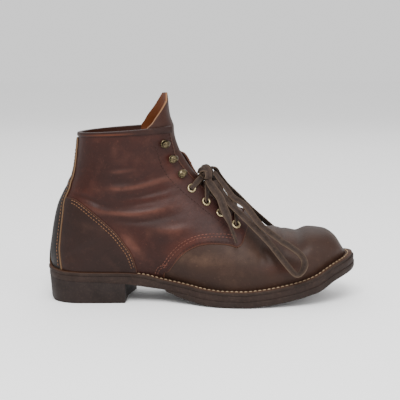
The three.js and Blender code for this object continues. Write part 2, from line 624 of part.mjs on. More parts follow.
function eyeletSolid() {
  const r = eyeletHole / 2;
  const flange = eyeletFlange / 2;
  const top = gap + eyeletFlangeHeight;
  const profile = [
    [r, gap - quarterWall], [barrelOuter, gap - quarterWall], [barrelOuter, gap], [flange, gap],
    [flange - eyeletWall, top], [r + eyeletWall, top], [r, top - eyeletWall], [r, gap - quarterWall],
  ].map(([x, y]) => new THREE.Vector2(x, y));
  const geometry = new THREE.LatheGeometry(profile, roundSides);
  geometry.rotateX(Math.PI / 2);
  return solidFromGeometry(geometry);
}
function disc(radius, low, high, segments = roundSides) {
  const geometry = new THREE.CylinderGeometry(radius, radius, high - low, segments);
  geometry.rotateX(Math.PI / 2);
  geometry.translate(0, 0, (low + high) / 2);
  return solidFromGeometry(geometry);
}
function hookSolid() {
  const top = hookClearance + hookHeight;
  const front = hookBase / 2 - sheet / 2;
  const points = [
    [front - sheet, hookClearance + sheet / 2], [front, hookClearance + sheet / 2], [front, top - sheet],
    [front - sheet, top], [-front, top], [-front - sheet / 2, top - sheet],
    [-front + sheet / 2, top - sheet], [front - sheet * 1.5, top - sheet], [front - sheet, top - sheet * 1.5],
  ];
  const shape = new THREE.Shape(points.map(([x, z]) => new THREE.Vector2(x, z)));
  const geometry = new THREE.ExtrudeGeometry(shape, { depth: hookWidth, bevelEnabled: false });
  geometry.rotateX(Math.PI / 2);
  geometry.translate(0, hookWidth / 2, 0);
  return disc(hookBase / 2, hookClearance, hookClearance + sheet).add(solidFromGeometry(geometry));
}
const placed = (solid, matrix) => solid.transform(matrix.elements);

const bothSides = [
  { name: "lateral", sign: -1 },
  { name: "medial", sign: 1 },
];
const eyelets = bothSides.flatMap(({ name, sign }) =>
  eyeletRows.map((row, i) => ({
    name: `eyelet_${name}_${i + 1}`,
    row,
    side: behindFacing(row, sign, edgeToEyelet),
  })),
);
const hookTurn = 0.35;
const hooks = bothSides.flatMap(({ name, sign }) =>
  hookRows.map(({ row, share }, i) => {
    const side = behindFacing(row, sign, edgeToEyelet * share);
    const spin = sign < 0 ? hookTurn : Math.PI - hookTurn;
    return { name: `hook_${name}_${i + 1}`, frame: seatFrame(row, side, spin) };
  }),
);

let upper = outerVamp.add(outerQuarter.intersect(quarterPrism(0)).subtract(betweenFacings));
upper = upper.subtract(cavity).subtract(throat).subtract(below(weltThickness));
for (const eyelet of eyelets) {
  const hole = disc(barrelOuter + gap, -quarterWall * 2, quarterWall);
  upper = upper.subtract(placed(hole, seatFrame(eyelet.row, eyelet.side)));
}

const seatCut = below(-gap);
// Drops the slivers that a cut leaves along a seam.
const largest = (solid) =>
  solid.decompose().reduce((best, body) => (body.volume() > best.volume() ? body : best));
const insole = layer(
  (x) => depthZ(x, weltThickness),
  (x) => depthZ(x, weltThickness - insoleThickness),
  featherAt, heelBack + heelOverhang, toeTip - toeOverhang,
).intersect(form(-vampWall - gap));
const weltRing = welt.subtract(outerGap.intersect(quarterPrism(gap))).subtract(vampGap);
const backstay = largest(form(quarterStep + overlayGap + backstayThickness, 0, collarRow)
  .subtract(overlaySeat)
  .intersect(backstayPrism(0))
  .subtract(collarBand(-bindingHeight - gap, outward))
  .subtract(seatCut));
const counterBand = form(quarterStep + overlayGap + counterThickness, 0, collarRow)
  .subtract(overlaySeat)
  .intersect(counterPrism)
  .subtract(backstayPrism(gap))
  .subtract(seatCut);
const farAway = 2 * soleLength;
const halfSpace = (from, to) =>
  prismAcross([[-farAway, -farAway], [farAway, -farAway], [farAway, farAway], [-farAway, farAway]], from, to);
const collarOuter = form(quarterStep + gap + bindingThickness);
const bindingBand = collarOuter
  .subtract(outerGap)
  .intersect(collarBand(-bindingHeight, gap + bindingThickness));
const bindingCap = collarOuter
  .subtract(form(-vampWall))
  .intersect(collarBand(gap, gap + bindingThickness));
const binding = bindingBand.add(bindingCap).subtract(throat);
const tongue = form(-vampWall - gap)
  .subtract(form(-vampWall - gap - tongueThickness))
  .intersect(tongueWedge);

// Flat strands of lace. A strand leaves its eyelet over the facing and dips between the
// facings on the far side, where it would pass under to the next eyelet up.
const laceHeight = quarterStep + gap + eyeletFlangeHeight + laceClearance;
const laceDip = gap - vampWall;
const laceEdgeRoom = laceWidth * 0.6;
function sideAtWidth(row, sign, half) {
  const step = 0.002;
  let side = 0;
  while (Math.abs(surfacePoint(row, sign * side).y - throatMiddleAt(row)) < half) side += step;
  return sign * side;
}
function laceStrand(from, to, drop) {
  const steps = 6;
  const points = Array.from({ length: steps + 1 }, (_, i) => {
    const t = i / steps;
    return {
      row: THREE.MathUtils.lerp(from.row, to.row, t),
      side: THREE.MathUtils.lerp(from.side, to.side, t),
      low: THREE.MathUtils.lerp(from.low, to.low, drop(t)),
    };
  });
  const centre = points.map((p) => skinPoint(p.row, p.side, p.low));
  return loft(
    points.map((p, i) => {
      const normal = surfaceNormal(p.row, p.side);
      const ahead = centre[Math.min(i + 1, steps)].clone().sub(centre[Math.max(i - 1, 0)]);
      const across = new THREE.Vector3().crossVectors(normal, ahead).setLength(laceWidth / 2);
      const low = centre[i].clone();
      const high = centre[i].clone().addScaledVector(normal, laceThickness);
      return [
        low.clone().sub(across), low.clone().add(across),
        high.clone().add(across), high.clone().sub(across),
      ];
    }),
  );
}
const lateDip = (t) => THREE.MathUtils.smoothstep(t, 0.55, 1);
function crossing(lower, upperRow) {
  const strand = (eyelet) => {
    const sign = -Math.sign(eyelet.side);
    const row = THREE.MathUtils.lerp(eyelet.row, upperRow, 0.72);
    const side = sideAtWidth(row, sign, throatHalfAt(row) - laceEdgeRoom);
    return laceStrand({ ...eyelet, low: laceHeight }, { row, side, low: laceDip }, lateDip);
  };
  return strand(lower[0]).add(strand(lower[1]));
}
function bottomBar(row) {
  const end = (sign) => ({
    row,
    side: sideAtWidth(row, sign, openingHalfAt(row) - laceEdgeRoom / 2),
    low: laceDip,
  });
  return laceStrand(end(-1), end(1), (t) => t);
}
const lateralEyelets = eyelets.slice(0, eyeletRows.length);
const medialEyelets = eyelets.slice(eyeletRows.length);

// The free lace, as points chosen by hand down each side.
const lateralLoop = [
  [123.1, -9.8, 127.1], [135, -18, 112.4], [141.3, -24, 104.7], [153.7, -31, 96.5],
  [166.8, -41, 80.7], [184.8, -51, 67.7], [203.5, -57, 55.4], [208.6, -58, 44],
  [201.5, -58, 34.6], [190.6, -56, 45.3], [176, -50, 63.1], [156.4, -38, 81.9],
  [139.2, -27, 97.5], [130.2, -19, 108.7], [123.6, -12.5, 119.4],
];
const lateralEnd = [
  [116.3, -13.9, 120.6], [122.6, -24, 112.2], [128.4, -30, 104.8], [131.7, -36, 96.3],
  [135.5, -41, 87.7], [138.8, -45, 78.6], [144.1, -49.5, 64],
];
const medialLoop = [
  [119.8, -0.5, 131.2], [124.5, 9, 128.5], [128.5, 17.5, 120.5], [136, 27.5, 109.5], [148, 36, 97], [162, 45, 82], [178, 53, 67],
  [194, 58, 52], [199, 59, 41], [191, 58.5, 36], [178, 56.5, 49], [160, 50, 66],
  [144, 41, 82], [131, 31, 99], [124.5, 20, 114.5], [122.3, 9.5, 122], [121, 3.4, 125.2],
];
const medialEnd = [
  [113, 0.7, 129.6], [114, 11, 128], [115.8, 21, 120.5], [118.6, 30, 111], [121, 38.5, 99], [123, 44, 87], [125, 48, 74],
  [127, 50.5, 60],
];
function cordSolid(points) {
  const curve = new THREE.CatmullRomCurve3(points.map((p) => new THREE.Vector3(...p)), false, "centripetal");
  const section = new THREE.Shape();
  const corners = 8;
  for (let i = 0; i < corners; i++) {
    const angle = (2 * Math.PI * i) / corners;
    const x = (Math.cos(angle) * laceCordDiameter) / 2;
    const y = (Math.sin(angle) * laceCordDiameter) / 2;
    if (i === 0) section.moveTo(x, y);
    else section.lineTo(x, y);
  }
  const steps = Math.min(Math.round(curve.getLength() / (laceCordDiameter * 3)), 80);
  return solidFromGeometry(new THREE.ExtrudeGeometry(section, { steps, extrudePath: curve, bevelEnabled: false }));
}
const knotPlace = { row: 10.95, side: -0.09, lift: 10 };
const knotSize = { along: 7.3, across: 9, thick: 5.9 };
function knotSolid() {
  const ball = new THREE.SphereGeometry(1, 10, 6);
  ball.scale(knotSize.across, knotSize.along, knotSize.thick);
  const normal = surfaceNormal(knotPlace.row, knotPlace.side);
  const along = new THREE.Vector3().crossVectors(new THREE.Vector3(0, 1, 0), normal).normalize();
  const across = new THREE.Vector3().crossVectors(along, normal).normalize();
  const centre = skinPoint(knotPlace.row, knotPlace.side, knotPlace.lift);
  const frame = new THREE.Matrix4().makeBasis(across, along.negate(), normal).setPosition(centre);
  return placed(solidFromGeometry(ball), frame);
}

const group = new THREE.Group();
function addNode(name, solid, finish) {
  const mesh = solid.getMesh();
  const geometry = new THREE.BufferGeometry();
  geometry.setAttribute("position", new THREE.Float32BufferAttribute(mesh.vertProperties, 3));
  geometry.setIndex(new THREE.Uint32BufferAttribute(mesh.triVerts, 1));
  geometry.computeVertexNormals();
  const node = new THREE.Mesh(geometry, new THREE.MeshStandardMaterial(finish));
  node.name = name;
  group.add(node);
}
const leather = { color: 0x5a3730, roughness: 0.6, metalness: 0 };
const dark = { color: 0x3c322e, roughness: 0.7, metalness: 0 };
const soleFinish = { color: 0x3a2d2a, roughness: 0.75, metalness: 0 };
const brass = { color: 0x8a8060, roughness: 0.45, metalness: 1 };
const laceFinish = { color: 0x54483f, roughness: 0.9, metalness: 0 };

addNode("upper", upper, leather);
addNode("tongue", tongue, leather);
addNode("insole", insole, { color: 0x8a6a48, roughness: 0.9, metalness: 0 });
addNode("welt", weltRing, dark);
addNode("midsole", midsole, soleFinish);
addNode("outsole", outsole, soleFinish);
addNode("heel_block", heelBlock, soleFinish);
addNode("counter_lateral", largest(counterBand.intersect(halfSpace(-farAway, 0))), dark);
addNode("counter_medial", largest(counterBand.intersect(halfSpace(0, farAway))), dark);
addNode("backstay", backstay, dark);
addNode("collar_binding", binding, leather);
for (const eyelet of eyelets) {
  addNode(eyelet.name, placed(eyeletSolid(), seatFrame(eyelet.row, eyelet.side)), brass);
}
for (const hook of hooks) addNode(hook.name, placed(hookSolid(), hook.frame), brass);
for (let i = 0; i + 1 < eyeletRows.length; i++) {
  const pair = [lateralEyelets[i + 1], medialEyelets[i + 1]];
  addNode(`lace_crossing_${i + 1}`, crossing(pair, eyeletRows[i]), laceFinish);
}
addNode("lace_bottom_bar", bottomBar(eyeletRows[3] + 0.12), laceFinish);
addNode("lace_knot", knotSolid(), laceFinish);
addNode("lace_loop_lateral", cordSolid(lateralLoop), laceFinish);
addNode("lace_end_lateral", cordSolid(lateralEnd), laceFinish);
addNode("lace_loop_medial", cordSolid(medialLoop), laceFinish);
addNode("lace_end_medial", cordSolid(medialEnd), laceFinish);

export default group;
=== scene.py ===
import math

import bpy
import numpy as np
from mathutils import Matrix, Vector


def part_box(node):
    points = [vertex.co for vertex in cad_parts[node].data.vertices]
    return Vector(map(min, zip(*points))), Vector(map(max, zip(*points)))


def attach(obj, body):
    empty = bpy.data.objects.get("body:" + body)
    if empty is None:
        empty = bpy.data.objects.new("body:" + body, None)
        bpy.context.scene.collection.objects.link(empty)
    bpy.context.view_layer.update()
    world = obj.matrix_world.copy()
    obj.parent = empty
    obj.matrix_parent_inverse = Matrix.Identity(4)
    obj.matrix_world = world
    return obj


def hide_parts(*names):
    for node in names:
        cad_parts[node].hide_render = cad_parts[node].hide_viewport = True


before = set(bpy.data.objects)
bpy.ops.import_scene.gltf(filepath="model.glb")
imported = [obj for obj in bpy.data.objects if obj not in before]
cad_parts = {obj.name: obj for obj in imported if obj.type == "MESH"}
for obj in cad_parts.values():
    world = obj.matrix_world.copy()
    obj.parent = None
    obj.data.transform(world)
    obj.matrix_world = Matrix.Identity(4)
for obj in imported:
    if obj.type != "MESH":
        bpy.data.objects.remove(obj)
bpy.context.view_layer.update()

# The boot is worked out in millimetres and turned into metres where a mesh is made.
MM = 0.001

# Driving sizes, as in the solids.
SOLE_LENGTH = 307.5
BALL_WIDTH = 104.0
HEEL_WIDTH = 68.0
HEEL_FLAT_LENGTH = 71.0
HEEL_BEVEL_LENGTH = 7.5
HEEL_BEVEL_HEIGHT = 4.7
HEEL_RISE = 15.1
TOE_SPRING = 33.3
VAMP_HEIGHT = 52.0
INSTEP_HEIGHT = 94.0
SHAFT_HEIGHT = 134.5
COLLAR_RISE = 3.5
WELT_THICKNESS = 3.2
MIDSOLE_THICKNESS = 6.0
OUTSOLE_THICKNESS = 6.4
VAMP_WALL = 1.8
QUARTER_STEP = 1.2
COUNTER_THICKNESS = 1.2
BACKSTAY_THICKNESS = 1.8
BINDING_THICKNESS = 0.9
BINDING_HEIGHT = 5.0
TONGUE_THICKNESS = 2.2
WELT_OVERHANG = 6.5
SEAT_OVERHANG = 0.55
TOE_OVERHANG = 10.0
HEEL_OVERHANG = 6.5
HEEL_TAPER = 1.5
EYELET_HOLE = 5.2
EYELET_FLANGE = 9.0
EYELET_BARREL = 0.6
EDGE_TO_EYELET = 12.0
HOOK_BASE = 8.0
HOOK_TURN = 0.35
THROAT_WIDTH = 29.0
THROAT_LEAN = 0.4
LACE_WIDTH = 6.4
LACE_THICKNESS = 1.5
GAP = 0.3

SOLE_STACK = WELT_THICKNESS + MIDSOLE_THICKNESS + OUTSOLE_THICKNESS + 2 * GAP
HEEL_BACK = -(HEEL_FLAT_LENGTH / 2 + HEEL_BEVEL_LENGTH)
TOE_TIP = HEEL_BACK + SOLE_LENGTH
BREAST_X = HEEL_FLAT_LENGTH / 2
BREAST_REACH = 7.5

# The sole along its length. Columns: along, lift (share of HEEL_RISE), spring (share of
# TOE_SPRING), shank and forepart (shares of the midsole's and outsole's thickness), the
# width that the half widths are shares of, lateral, medial.
SOLE_ROWS = [
    (0.00, 1.22, 0.00, 0.00, 0.00, HEEL_WIDTH, 0.500, 0.500),
    (0.06, 1.07, 0.00, 0.00, 0.00, HEEL_WIDTH, 0.505, 0.500),
    (0.14, 1.00, 0.00, 0.00, 0.00, HEEL_WIDTH, 0.507, 0.500),
    (0.25, 0.98, 0.00, 0.30, 0.00, HEEL_WIDTH, 0.495, 0.465),
    (0.31, 0.87, 0.00, 0.42, 0.00, HEEL_WIDTH, 0.487, 0.430),
    (0.38, 0.54, 0.00, 0.05, 0.26, HEEL_WIDTH, 0.510, 0.420),
    (0.45, 0.29, 0.00, 0.00, 0.92, BALL_WIDTH, 0.385, 0.315),
    (0.52, 0.06, 0.00, 0.00, 1.00, BALL_WIDTH, 0.465, 0.400),
    (0.57, 0.00, 0.00, 0.00, 1.00, BALL_WIDTH, 0.502, 0.450),
    (0.63, 0.00, 0.00, 0.00, 1.00, BALL_WIDTH, 0.519, 0.480),
    (0.69, 0.00, 0.05, 0.00, 1.00, BALL_WIDTH, 0.513, 0.488),
    (0.77, 0.00, 0.17, 0.00, 1.00, BALL_WIDTH, 0.482, 0.474),
    (0.85, 0.00, 0.36, 0.00, 1.00, BALL_WIDTH, 0.438, 0.456),
    (0.92, 0.00, 0.69, 0.00, 1.00, BALL_WIDTH, 0.415, 0.447),
    (1.00, 0.00, 0.94, 0.00, 1.00, BALL_WIDTH, 0.405, 0.442),
]
TOE_NOSE_LENGTH = 62.0
TOE_NOSE_POWER = 2.05
HEEL_NOSE_LENGTH = 33.0
HEEL_NOSE_POWER = 2.2

# The upper's sections. Columns: front along, front level, back along, back level, the width
# that the half widths are shares of, lateral, medial, widest, crown, ridge.
SECTION_ROWS = [
    (0.9645, 0.080, 0.9645, 0.000, BALL_WIDTH, 0.072, 0.084, 0.45, 2.30, 0.020),
    (0.9550, 0.190, 0.9550, 0.000, BALL_WIDTH, 0.149, 0.156, 0.42, 2.30, 0.020),
    (0.9330, 0.420, 0.9330, 0.000, BALL_WIDTH, 0.232, 0.238, 0.40, 2.30, 0.020),
    (0.8980, 0.630, 0.8980, 0.000, BALL_WIDTH, 0.317, 0.324, 0.36, 2.30, 0.025),
    (0.8520, 0.795, 0.8520, 0.000, BALL_WIDTH, 0.383, 0.389, 0.33, 2.35, 0.030),
    (0.8065, 0.815, 0.8065, 0.000, BALL_WIDTH, 0.420, 0.415, 0.30, 2.20, 0.040),
    (0.7545, 0.930, 0.7545, 0.000, BALL_WIDTH, 0.447, 0.430, 0.28, 2.00, 0.045),
    (0.7090, 1.000, 0.7020, 0.000, BALL_WIDTH, 0.464, 0.436, 0.25, 1.90, 0.050),
    (0.6620, 1.300, 0.6410, 0.000, BALL_WIDTH, 0.466, 0.430, 0.24, 1.80, 0.050),
    (0.6110, 1.630, 0.5660, 0.000, BALL_WIDTH, 0.448, 0.404, 0.24, 1.75, 0.050),
    (0.5460, 2.000, 0.4680, 0.000, BALL_WIDTH, 0.404, 0.366, 0.25, 1.75, 0.040),
    (0.4940, 2.210, 0.3450, 0.000, HEEL_WIDTH, 0.552, 0.515, 0.28, 1.80, 0.030),
    (0.4650, 2.380, 0.1950, 0.000, HEEL_WIDTH, 0.507, 0.493, 0.30, 1.85, 0.020),
    (0.4470, 2.520, 0.0715, 0.000, HEEL_WIDTH, 0.493, 0.485, 0.31, 1.90, 0.020),
    (0.4374, 2.600, 0.0218, 0.000, HEEL_WIDTH, 0.485, 0.478, 0.33, 2.00, 0.015),
    (0.4332, 2.650, 0.0143, 0.089, HEEL_WIDTH, 0.478, 0.478, 0.38, 2.00, 0.015),
    (0.4286, 2.710, 0.0228, 0.253, HEEL_WIDTH, 0.470, 0.470, 0.42, 2.05, 0.010),
    (0.4237, 2.780, 0.0403, 0.442, HEEL_WIDTH, 0.456, 0.456, 0.46, 2.10, 0.010),
    (0.4202, 2.850, 0.0657, 0.576, HEEL_WIDTH, 0.449, 0.449, 0.48, 2.15, 0.010),
    (0.4182, 2.915, 0.0943, 0.743, HEEL_WIDTH, 0.456, 0.456, 0.50, 2.20, 0.010),
    (0.4172, 3.000, 0.1073, 1.000, HEEL_WIDTH, 0.471, 0.471, 0.50, 2.20, 0.010),
    (0.4049, 3.184, 0.1008, 1.100, HEEL_WIDTH, 0.471, 0.471, 0.50, 2.20, 0.010),
    (0.3970, 3.540, 0.0878, 1.220, HEEL_WIDTH, 0.460, 0.460, 0.50, 2.20, 0.010),
]
BREAK_ROW = 7
HEEL_ROW = 14
COLLAR_ROW = 20
LAST_ROW = len(SECTION_ROWS) - 1


# Curves through tables.
def curve_through(at, values):
    at = np.asarray(at, float)
    values = np.asarray(values, float)
    slopes = np.diff(values) / np.diff(at)
    before = np.concatenate([slopes[:1], slopes])
    after = np.concatenate([slopes, slopes[-1:]])
    product = before * after
    total = np.where(np.abs(before + after) < 1e-12, 1.0, before + after)
    tangents = np.where(product > 0, 2 * product / total, 0.0)

    def value(x):
        x = np.asarray(x, float)
        i = np.clip(np.searchsorted(at, x, side="right") - 1, 0, len(at) - 2)
        h = at[i + 1] - at[i]
        t = np.clip((x - at[i]) / h, 0, 1)
        t2 = t * t
        t3 = t2 * t
        return (
            values[i] * (2 * t3 - 3 * t2 + 1)
            + tangents[i] * h * (t3 - 2 * t2 + t)
            + values[i + 1] * (3 * t2 - 2 * t3)
            + tangents[i + 1] * h * (t3 - t2)
        )

    return value


def smoothstep(x, low, high):
    t = np.clip((np.asarray(x, float) - low) / (high - low), 0, 1)
    return t * t * (3 - 2 * t)


def lerp(a, b, t):
    return a + (b - a) * t


def sole_column(value):
    return curve_through([row[0] for row in SOLE_ROWS], [value(row) for row in SOLE_ROWS])


sole_top_at = sole_column(lambda row: SOLE_STACK + row[1] * HEEL_RISE + row[2] * TOE_SPRING)
shank_at = sole_column(lambda row: row[3] * MIDSOLE_THICKNESS)
forepart_at = sole_column(lambda row: row[4] * OUTSOLE_THICKNESS)
sole_lateral_at = sole_column(lambda row: row[6] * row[5])
sole_medial_at = sole_column(lambda row: row[7] * row[5])


def along_of(x):
    return (x - HEEL_BACK) / SOLE_LENGTH


def x_of(along):
    return HEEL_BACK + along * SOLE_LENGTH


def top_z(x):
    return sole_top_at(np.clip(along_of(x), 0, 1))


def depth_z(x, depth):
    slope = (top_z(x + 1.0) - top_z(x - 1.0)) / 2
    return top_z(x) - depth * np.sqrt(1 + slope * slope)


def outline_at(x, inset, toe_inset, heel_inset):
    """The sole's lateral edge, medial edge and half width at x."""
    along = along_of(x)

    def nose(reach, length, power):
        u = np.clip(1 - reach / length, 0, 1)
        return np.maximum(1 - u**power, 0) ** (1 / power)

    toe = nose(TOE_TIP - toe_inset - x, TOE_NOSE_LENGTH - toe_inset / 2, TOE_NOSE_POWER)
    heel = nose(x - HEEL_BACK - heel_inset, HEEL_NOSE_LENGTH - heel_inset / 2, HEEL_NOSE_POWER)
    round_off = toe * heel
    lateral = sole_lateral_at(along) - inset
    medial = sole_medial_at(along) - inset
    centre = (medial - lateral) / 2
    half = (medial + lateral) / 2 * round_off
    return centre - half, centre + half, half


def side_overhang(x):
    """How far the welt stands out beside the upper. It is narrower at the heel's seat."""
    return lerp(WELT_OVERHANG * SEAT_OVERHANG, WELT_OVERHANG, smoothstep(along_of(x), 0.15, 0.5))


def feather_at(x):
    """Where the upper meets the welt."""
    return outline_at(x, side_overhang(x), TOE_OVERHANG, HEEL_OVERHANG)


# The last's surface: row picks the section, and side runs from -1 at the back or bottom of
# the lateral side, over 0 at the front, to 1 on the medial side.
BREAK_Z = float(top_z(x_of(SECTION_ROWS[BREAK_ROW][0]))) + VAMP_HEIGHT
INSTEP_Z = SOLE_STACK + INSTEP_HEIGHT
COLLAR_Z = float(top_z(HEEL_BACK)) + SHAFT_HEIGHT + COLLAR_RISE
HEEL_SEAT = SOLE_STACK + HEEL_RISE
HEEL_CENTRE = HEEL_BACK + HEEL_OVERHANG + HEEL_WIDTH / 2
CORNER_SOFTNESS = 0.008
SEAM_SIDE = 0.96


def front_height(row):
    along, level = row[0], row[1]
    if level <= 1:
        return float(top_z(x_of(along))) + level * VAMP_HEIGHT
    if level <= 2:
        return lerp(BREAK_Z, INSTEP_Z, level - 1)
    return INSTEP_Z + (level - 2) * (COLLAR_Z - INSTEP_Z)


def section_column(value):
    return curve_through(range(len(SECTION_ROWS)), [value(row) for row in SECTION_ROWS])


front_x_at = section_column(lambda row: x_of(row[0]))
front_z_at = section_column(front_height)
back_x_at = section_column(lambda row: x_of(row[2]))
back_z_at = section_column(lambda row: float(top_z(x_of(row[2]))) + row[3] * SHAFT_HEIGHT)
lateral_at = section_column(lambda row: row[5] * row[4])
medial_at = section_column(lambda row: row[6] * row[4])
widest_at = section_column(lambda row: row[7])
crown_at = section_column(lambda row: row[8])
ridge_at = section_column(lambda row: row[9] * BALL_WIDTH)


def surface(row, side):
    row, side = np.broadcast_arrays(np.asarray(row, float), np.asarray(side, float))
    share = (1 + np.cos(np.pi * side)) / 2
    full = np.where(side < 0, lateral_at(row), medial_at(row))
    widest = widest_at(row)
    crown = crown_at(row)
    low_lateral, low_medial, low_half = feather_at(back_x_at(row))
    heel = row >= HEEL_ROW + 1
    foot = np.where(heel, 0, low_half)
    low = np.where(heel, 0, (low_lateral + low_medial) / 2)
    u = np.clip((share - widest) / (1 - widest), 0, 1)
    over = np.maximum(1 - u**crown, 0) ** (1 / crown)
    v = np.clip(share / widest, 0, 1)
    round_end = np.sqrt(1 - (1 - v) ** 2)
    sole = np.minimum(foot / full, 1)
    bulge = sole + (1 - sole) * np.sin(np.pi / 2 * v)
    blend = np.sqrt((round_end - bulge) ** 2 + CORNER_SOFTNESS * v * (1 - v))
    under = lerp((round_end + bulge + blend) / 2, bulge, smoothstep(sole, 0.6, 0.85))
    half = full * np.where(share >= widest, over, under)
    x = lerp(back_x_at(row), front_x_at(row), share)
    z = lerp(back_z_at(row), front_z_at(row), share)
    # Low at the heel the surface fills out to the seat's round outline.
    seat_half = feather_at(x)[2]
    filling = 1 - smoothstep(z, HEEL_SEAT + 6, HEEL_SEAT + 32)
    filling = filling * (1 - smoothstep(x, HEEL_CENTRE - 6, HEEL_CENTRE + 16))
    filling = filling * np.where(row >= HEEL_ROW, smoothstep(1 - np.abs(side), 0, 0.03), 1.0)
    half = half + np.maximum(seat_half - half, 0) * filling
    y = lerp(low, ridge_at(row), share) + np.sign(side) * half
    return np.stack([x, y, z], axis=-1)


def unit(v):
    return v / np.maximum(np.linalg.norm(v, axis=-1, keepdims=True), 1e-9)


def plain_normal(row, side):
    row_step, side_step = 0.35, 0.02
    high = np.minimum(row + row_step, LAST_ROW)
    low = np.maximum(row - row_step, 0)
    along_rows = surface(high, side) - surface(low, side)
    across = surface(row, side + side_step) - surface(row, side - side_step)
    return -unit(np.cross(along_rows, across))


def surface_normal(row, side):
    row, side = np.broadcast_arrays(np.asarray(row, float), np.asarray(side, float))
    inner = plain_normal(row, np.clip(side, -SEAM_SIDE, SEAM_SIDE))
    ends = [plain_normal(row, np.full_like(side, end)) for end in (SEAM_SIDE, -SEAM_SIDE)]
    seam = unit(ends[0] + ends[1])
    share = smoothstep(np.abs(side), 0.94, 1.0)[..., None] * (row >= HEEL_ROW)[..., None]
    normal = unit(lerp(inner, seam, share))
    point = surface(row, side)
    round_heel = point * np.array([1.0, 1.0, 0.0]) - np.array([HEEL_CENTRE, 0.0, 0.0])
    low = 1 - smoothstep(point[..., 2], HEEL_SEAT + 18, HEEL_SEAT + 42)
    share = low * (1 - smoothstep(point[..., 0], HEEL_CENTRE - 12, HEEL_CENTRE + 14))
    return unit(lerp(normal, unit(round_heel), share[..., None]))


def skin(row, side, offset):
    return surface(row, side) + surface_normal(row, side) * np.asarray(offset, float)[..., None]


# Meshes from arrays.
def make_object(name, points, faces, material, attributes=None, sharp=35.0):
    mesh = bpy.data.meshes.new(name)
    mesh.from_pydata((np.asarray(points) * MM).tolist(), [], faces)
    for key, values in (attributes or {}).items():
        layer = mesh.attributes.new(key, "FLOAT", "POINT")
        layer.data.foreach_set("value", np.asarray(values, np.float32))
    mesh.validate()
    mesh.shade_smooth()
    mesh.set_sharp_from_angle(angle=math.radians(sharp))
    mesh.materials.append(material)
    obj = bpy.data.objects.new(name, mesh)
    bpy.context.scene.collection.objects.link(obj)
    return obj


def settle(obj, slot, *nodes):
    """Ties a finished piece to the boot's body and hides the solids it stands for. The slot argument is not
    used.
    """
    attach(obj, "root")
    if nodes:
        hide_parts(*nodes)
    return obj


def grid_faces(rows, columns, closed=False):
    faces = []
    last = columns if closed else columns - 1
    for i in range(rows - 1):
        for j in range(last):
            k = (j + 1) % columns
            a, b = i * columns + j, i * columns + k
            faces.append((a, b, b + columns, a + columns))
    return faces


def flipped(faces):
    return [tuple(reversed(face)) for face in faces]


def capped(length, count):
    """Faces of a tube of rings, with both its ends."""
    ends = [tuple(reversed(range(count))), tuple(range((length - 1) * count, length * count))]
    return grid_faces(length, count, closed=True) + ends


def tube(lines):
    """A closed body between lines that run side by side, in order round it."""
    return np.stack(lines, axis=1).reshape(-1, 3), flipped(capped(len(lines[0]), len(lines)))


def hoop(lines):
    """The same for lines that close on themselves."""
    length, count = len(lines[0]), len(lines)
    faces = []
    for i in range(length):
        k = (i + 1) % length
        for j in range(count):
            m = (j + 1) % count
            faces.append((i * count + j, i * count + m, k * count + m, k * count + j))
    return np.stack(lines, axis=1).reshape(-1, 3), flipped(faces)


def join_meshes(parts):
    """Points and faces of several small meshes as one."""
    points, faces, start = [], [], 0
    for part_points, part_faces in parts:
        points.append(np.asarray(part_points, float))
        faces.extend(tuple(i + start for i in face) for face in part_faces)
        start += len(part_points)
    return np.concatenate(points), faces


# Side-view outlines and distances to them.
def smooth_line(points, steps=6):
    """A line through points with rounded corners."""
    p = np.asarray(points, float)
    padded = np.concatenate([2 * p[:1] - p[1:2], p, 2 * p[-1:] - p[-2:-1]])
    out = []
    for i in range(1, len(padded) - 2):
        a, b, c, d = padded[i - 1 : i + 3]
        square, cube = 2 * a - 5 * b + 4 * c - d, 3 * b - a - 3 * c + d
        for t in np.arange(steps) / steps:
            out.append(0.5 * (2 * b + (c - a) * t + square * t**2 + cube * t**3))
    return np.array([*out, p[-1]])


def lengths_along(line):
    return np.concatenate([[0], np.cumsum(np.linalg.norm(np.diff(line, axis=0), axis=1))])


def at_lengths(at, lengths, values):
    """What values are at some lengths along the line that they belong to."""
    return np.stack([np.interp(at, lengths, column) for column in values.T], axis=-1)


def distance_to_line(points, line):
    """The distance from each point to an open line, and how far along the line it is."""
    best = np.full(points.shape[:-1], 1e9)
    where = np.zeros(points.shape[:-1])
    lengths = np.linalg.norm(np.diff(line, axis=0), axis=1)
    starts = np.concatenate([[0], np.cumsum(lengths)])
    for a, b, start, length in zip(line[:-1], line[1:], starts, lengths):
        t = np.clip(((points - a) @ (b - a)) / max(length * length, 1e-9), 0, 1)
        d = np.linalg.norm(points - (a + t[..., None] * (b - a)), axis=-1)
        near = d < best
        best = np.where(near, d, best)
        where = np.where(near, start + t * length, where)
    return best, where / starts[-1]


def inside_outline(points, outline):
    """Signed distance to a closed outline, positive inside."""
    closed = np.concatenate([outline, outline[:1]])
    distance, _ = distance_to_line(points, closed)
    x, z = points[..., 0], points[..., 1]
    odd = np.zeros(points.shape[:-1], bool)
    for (x0, z0), (x1, z1) in zip(closed[:-1], closed[1:]):
        if z0 == z1:
            continue
        crosses = ((z0 > z) != (z1 > z)) & (x < (x1 - x0) * (z - z0) / (z1 - z0) + x0)
        odd ^= crosses
    return np.where(odd, distance, -distance)


# Tables for the throat, the tongue and the panels.
def table_of(rows, column):
    return curve_through([row[0] for row in rows], [row[column] for row in rows])


# Columns: row, half the facings' distance as a share of THROAT_WIDTH.
FACING_ROWS = [
    (7.7, 0.84), (8.2, 0.79), (9, 0.67), (10, 0.52), (11, 0.40), (12, 0.365),
    (13.2, 0.36), (15, 0.40), (17.35, 0.45), (20, 0.55), (22, 0.55),
]
# Columns: row, half the opening of the vamp below the facings as a share of THROAT_WIDTH.
OPENING_ROWS = [(8.45, 0.12), (8.52, 0.28), (8.7, 0.45), (9, 0.58), (9.5, 0.7)]
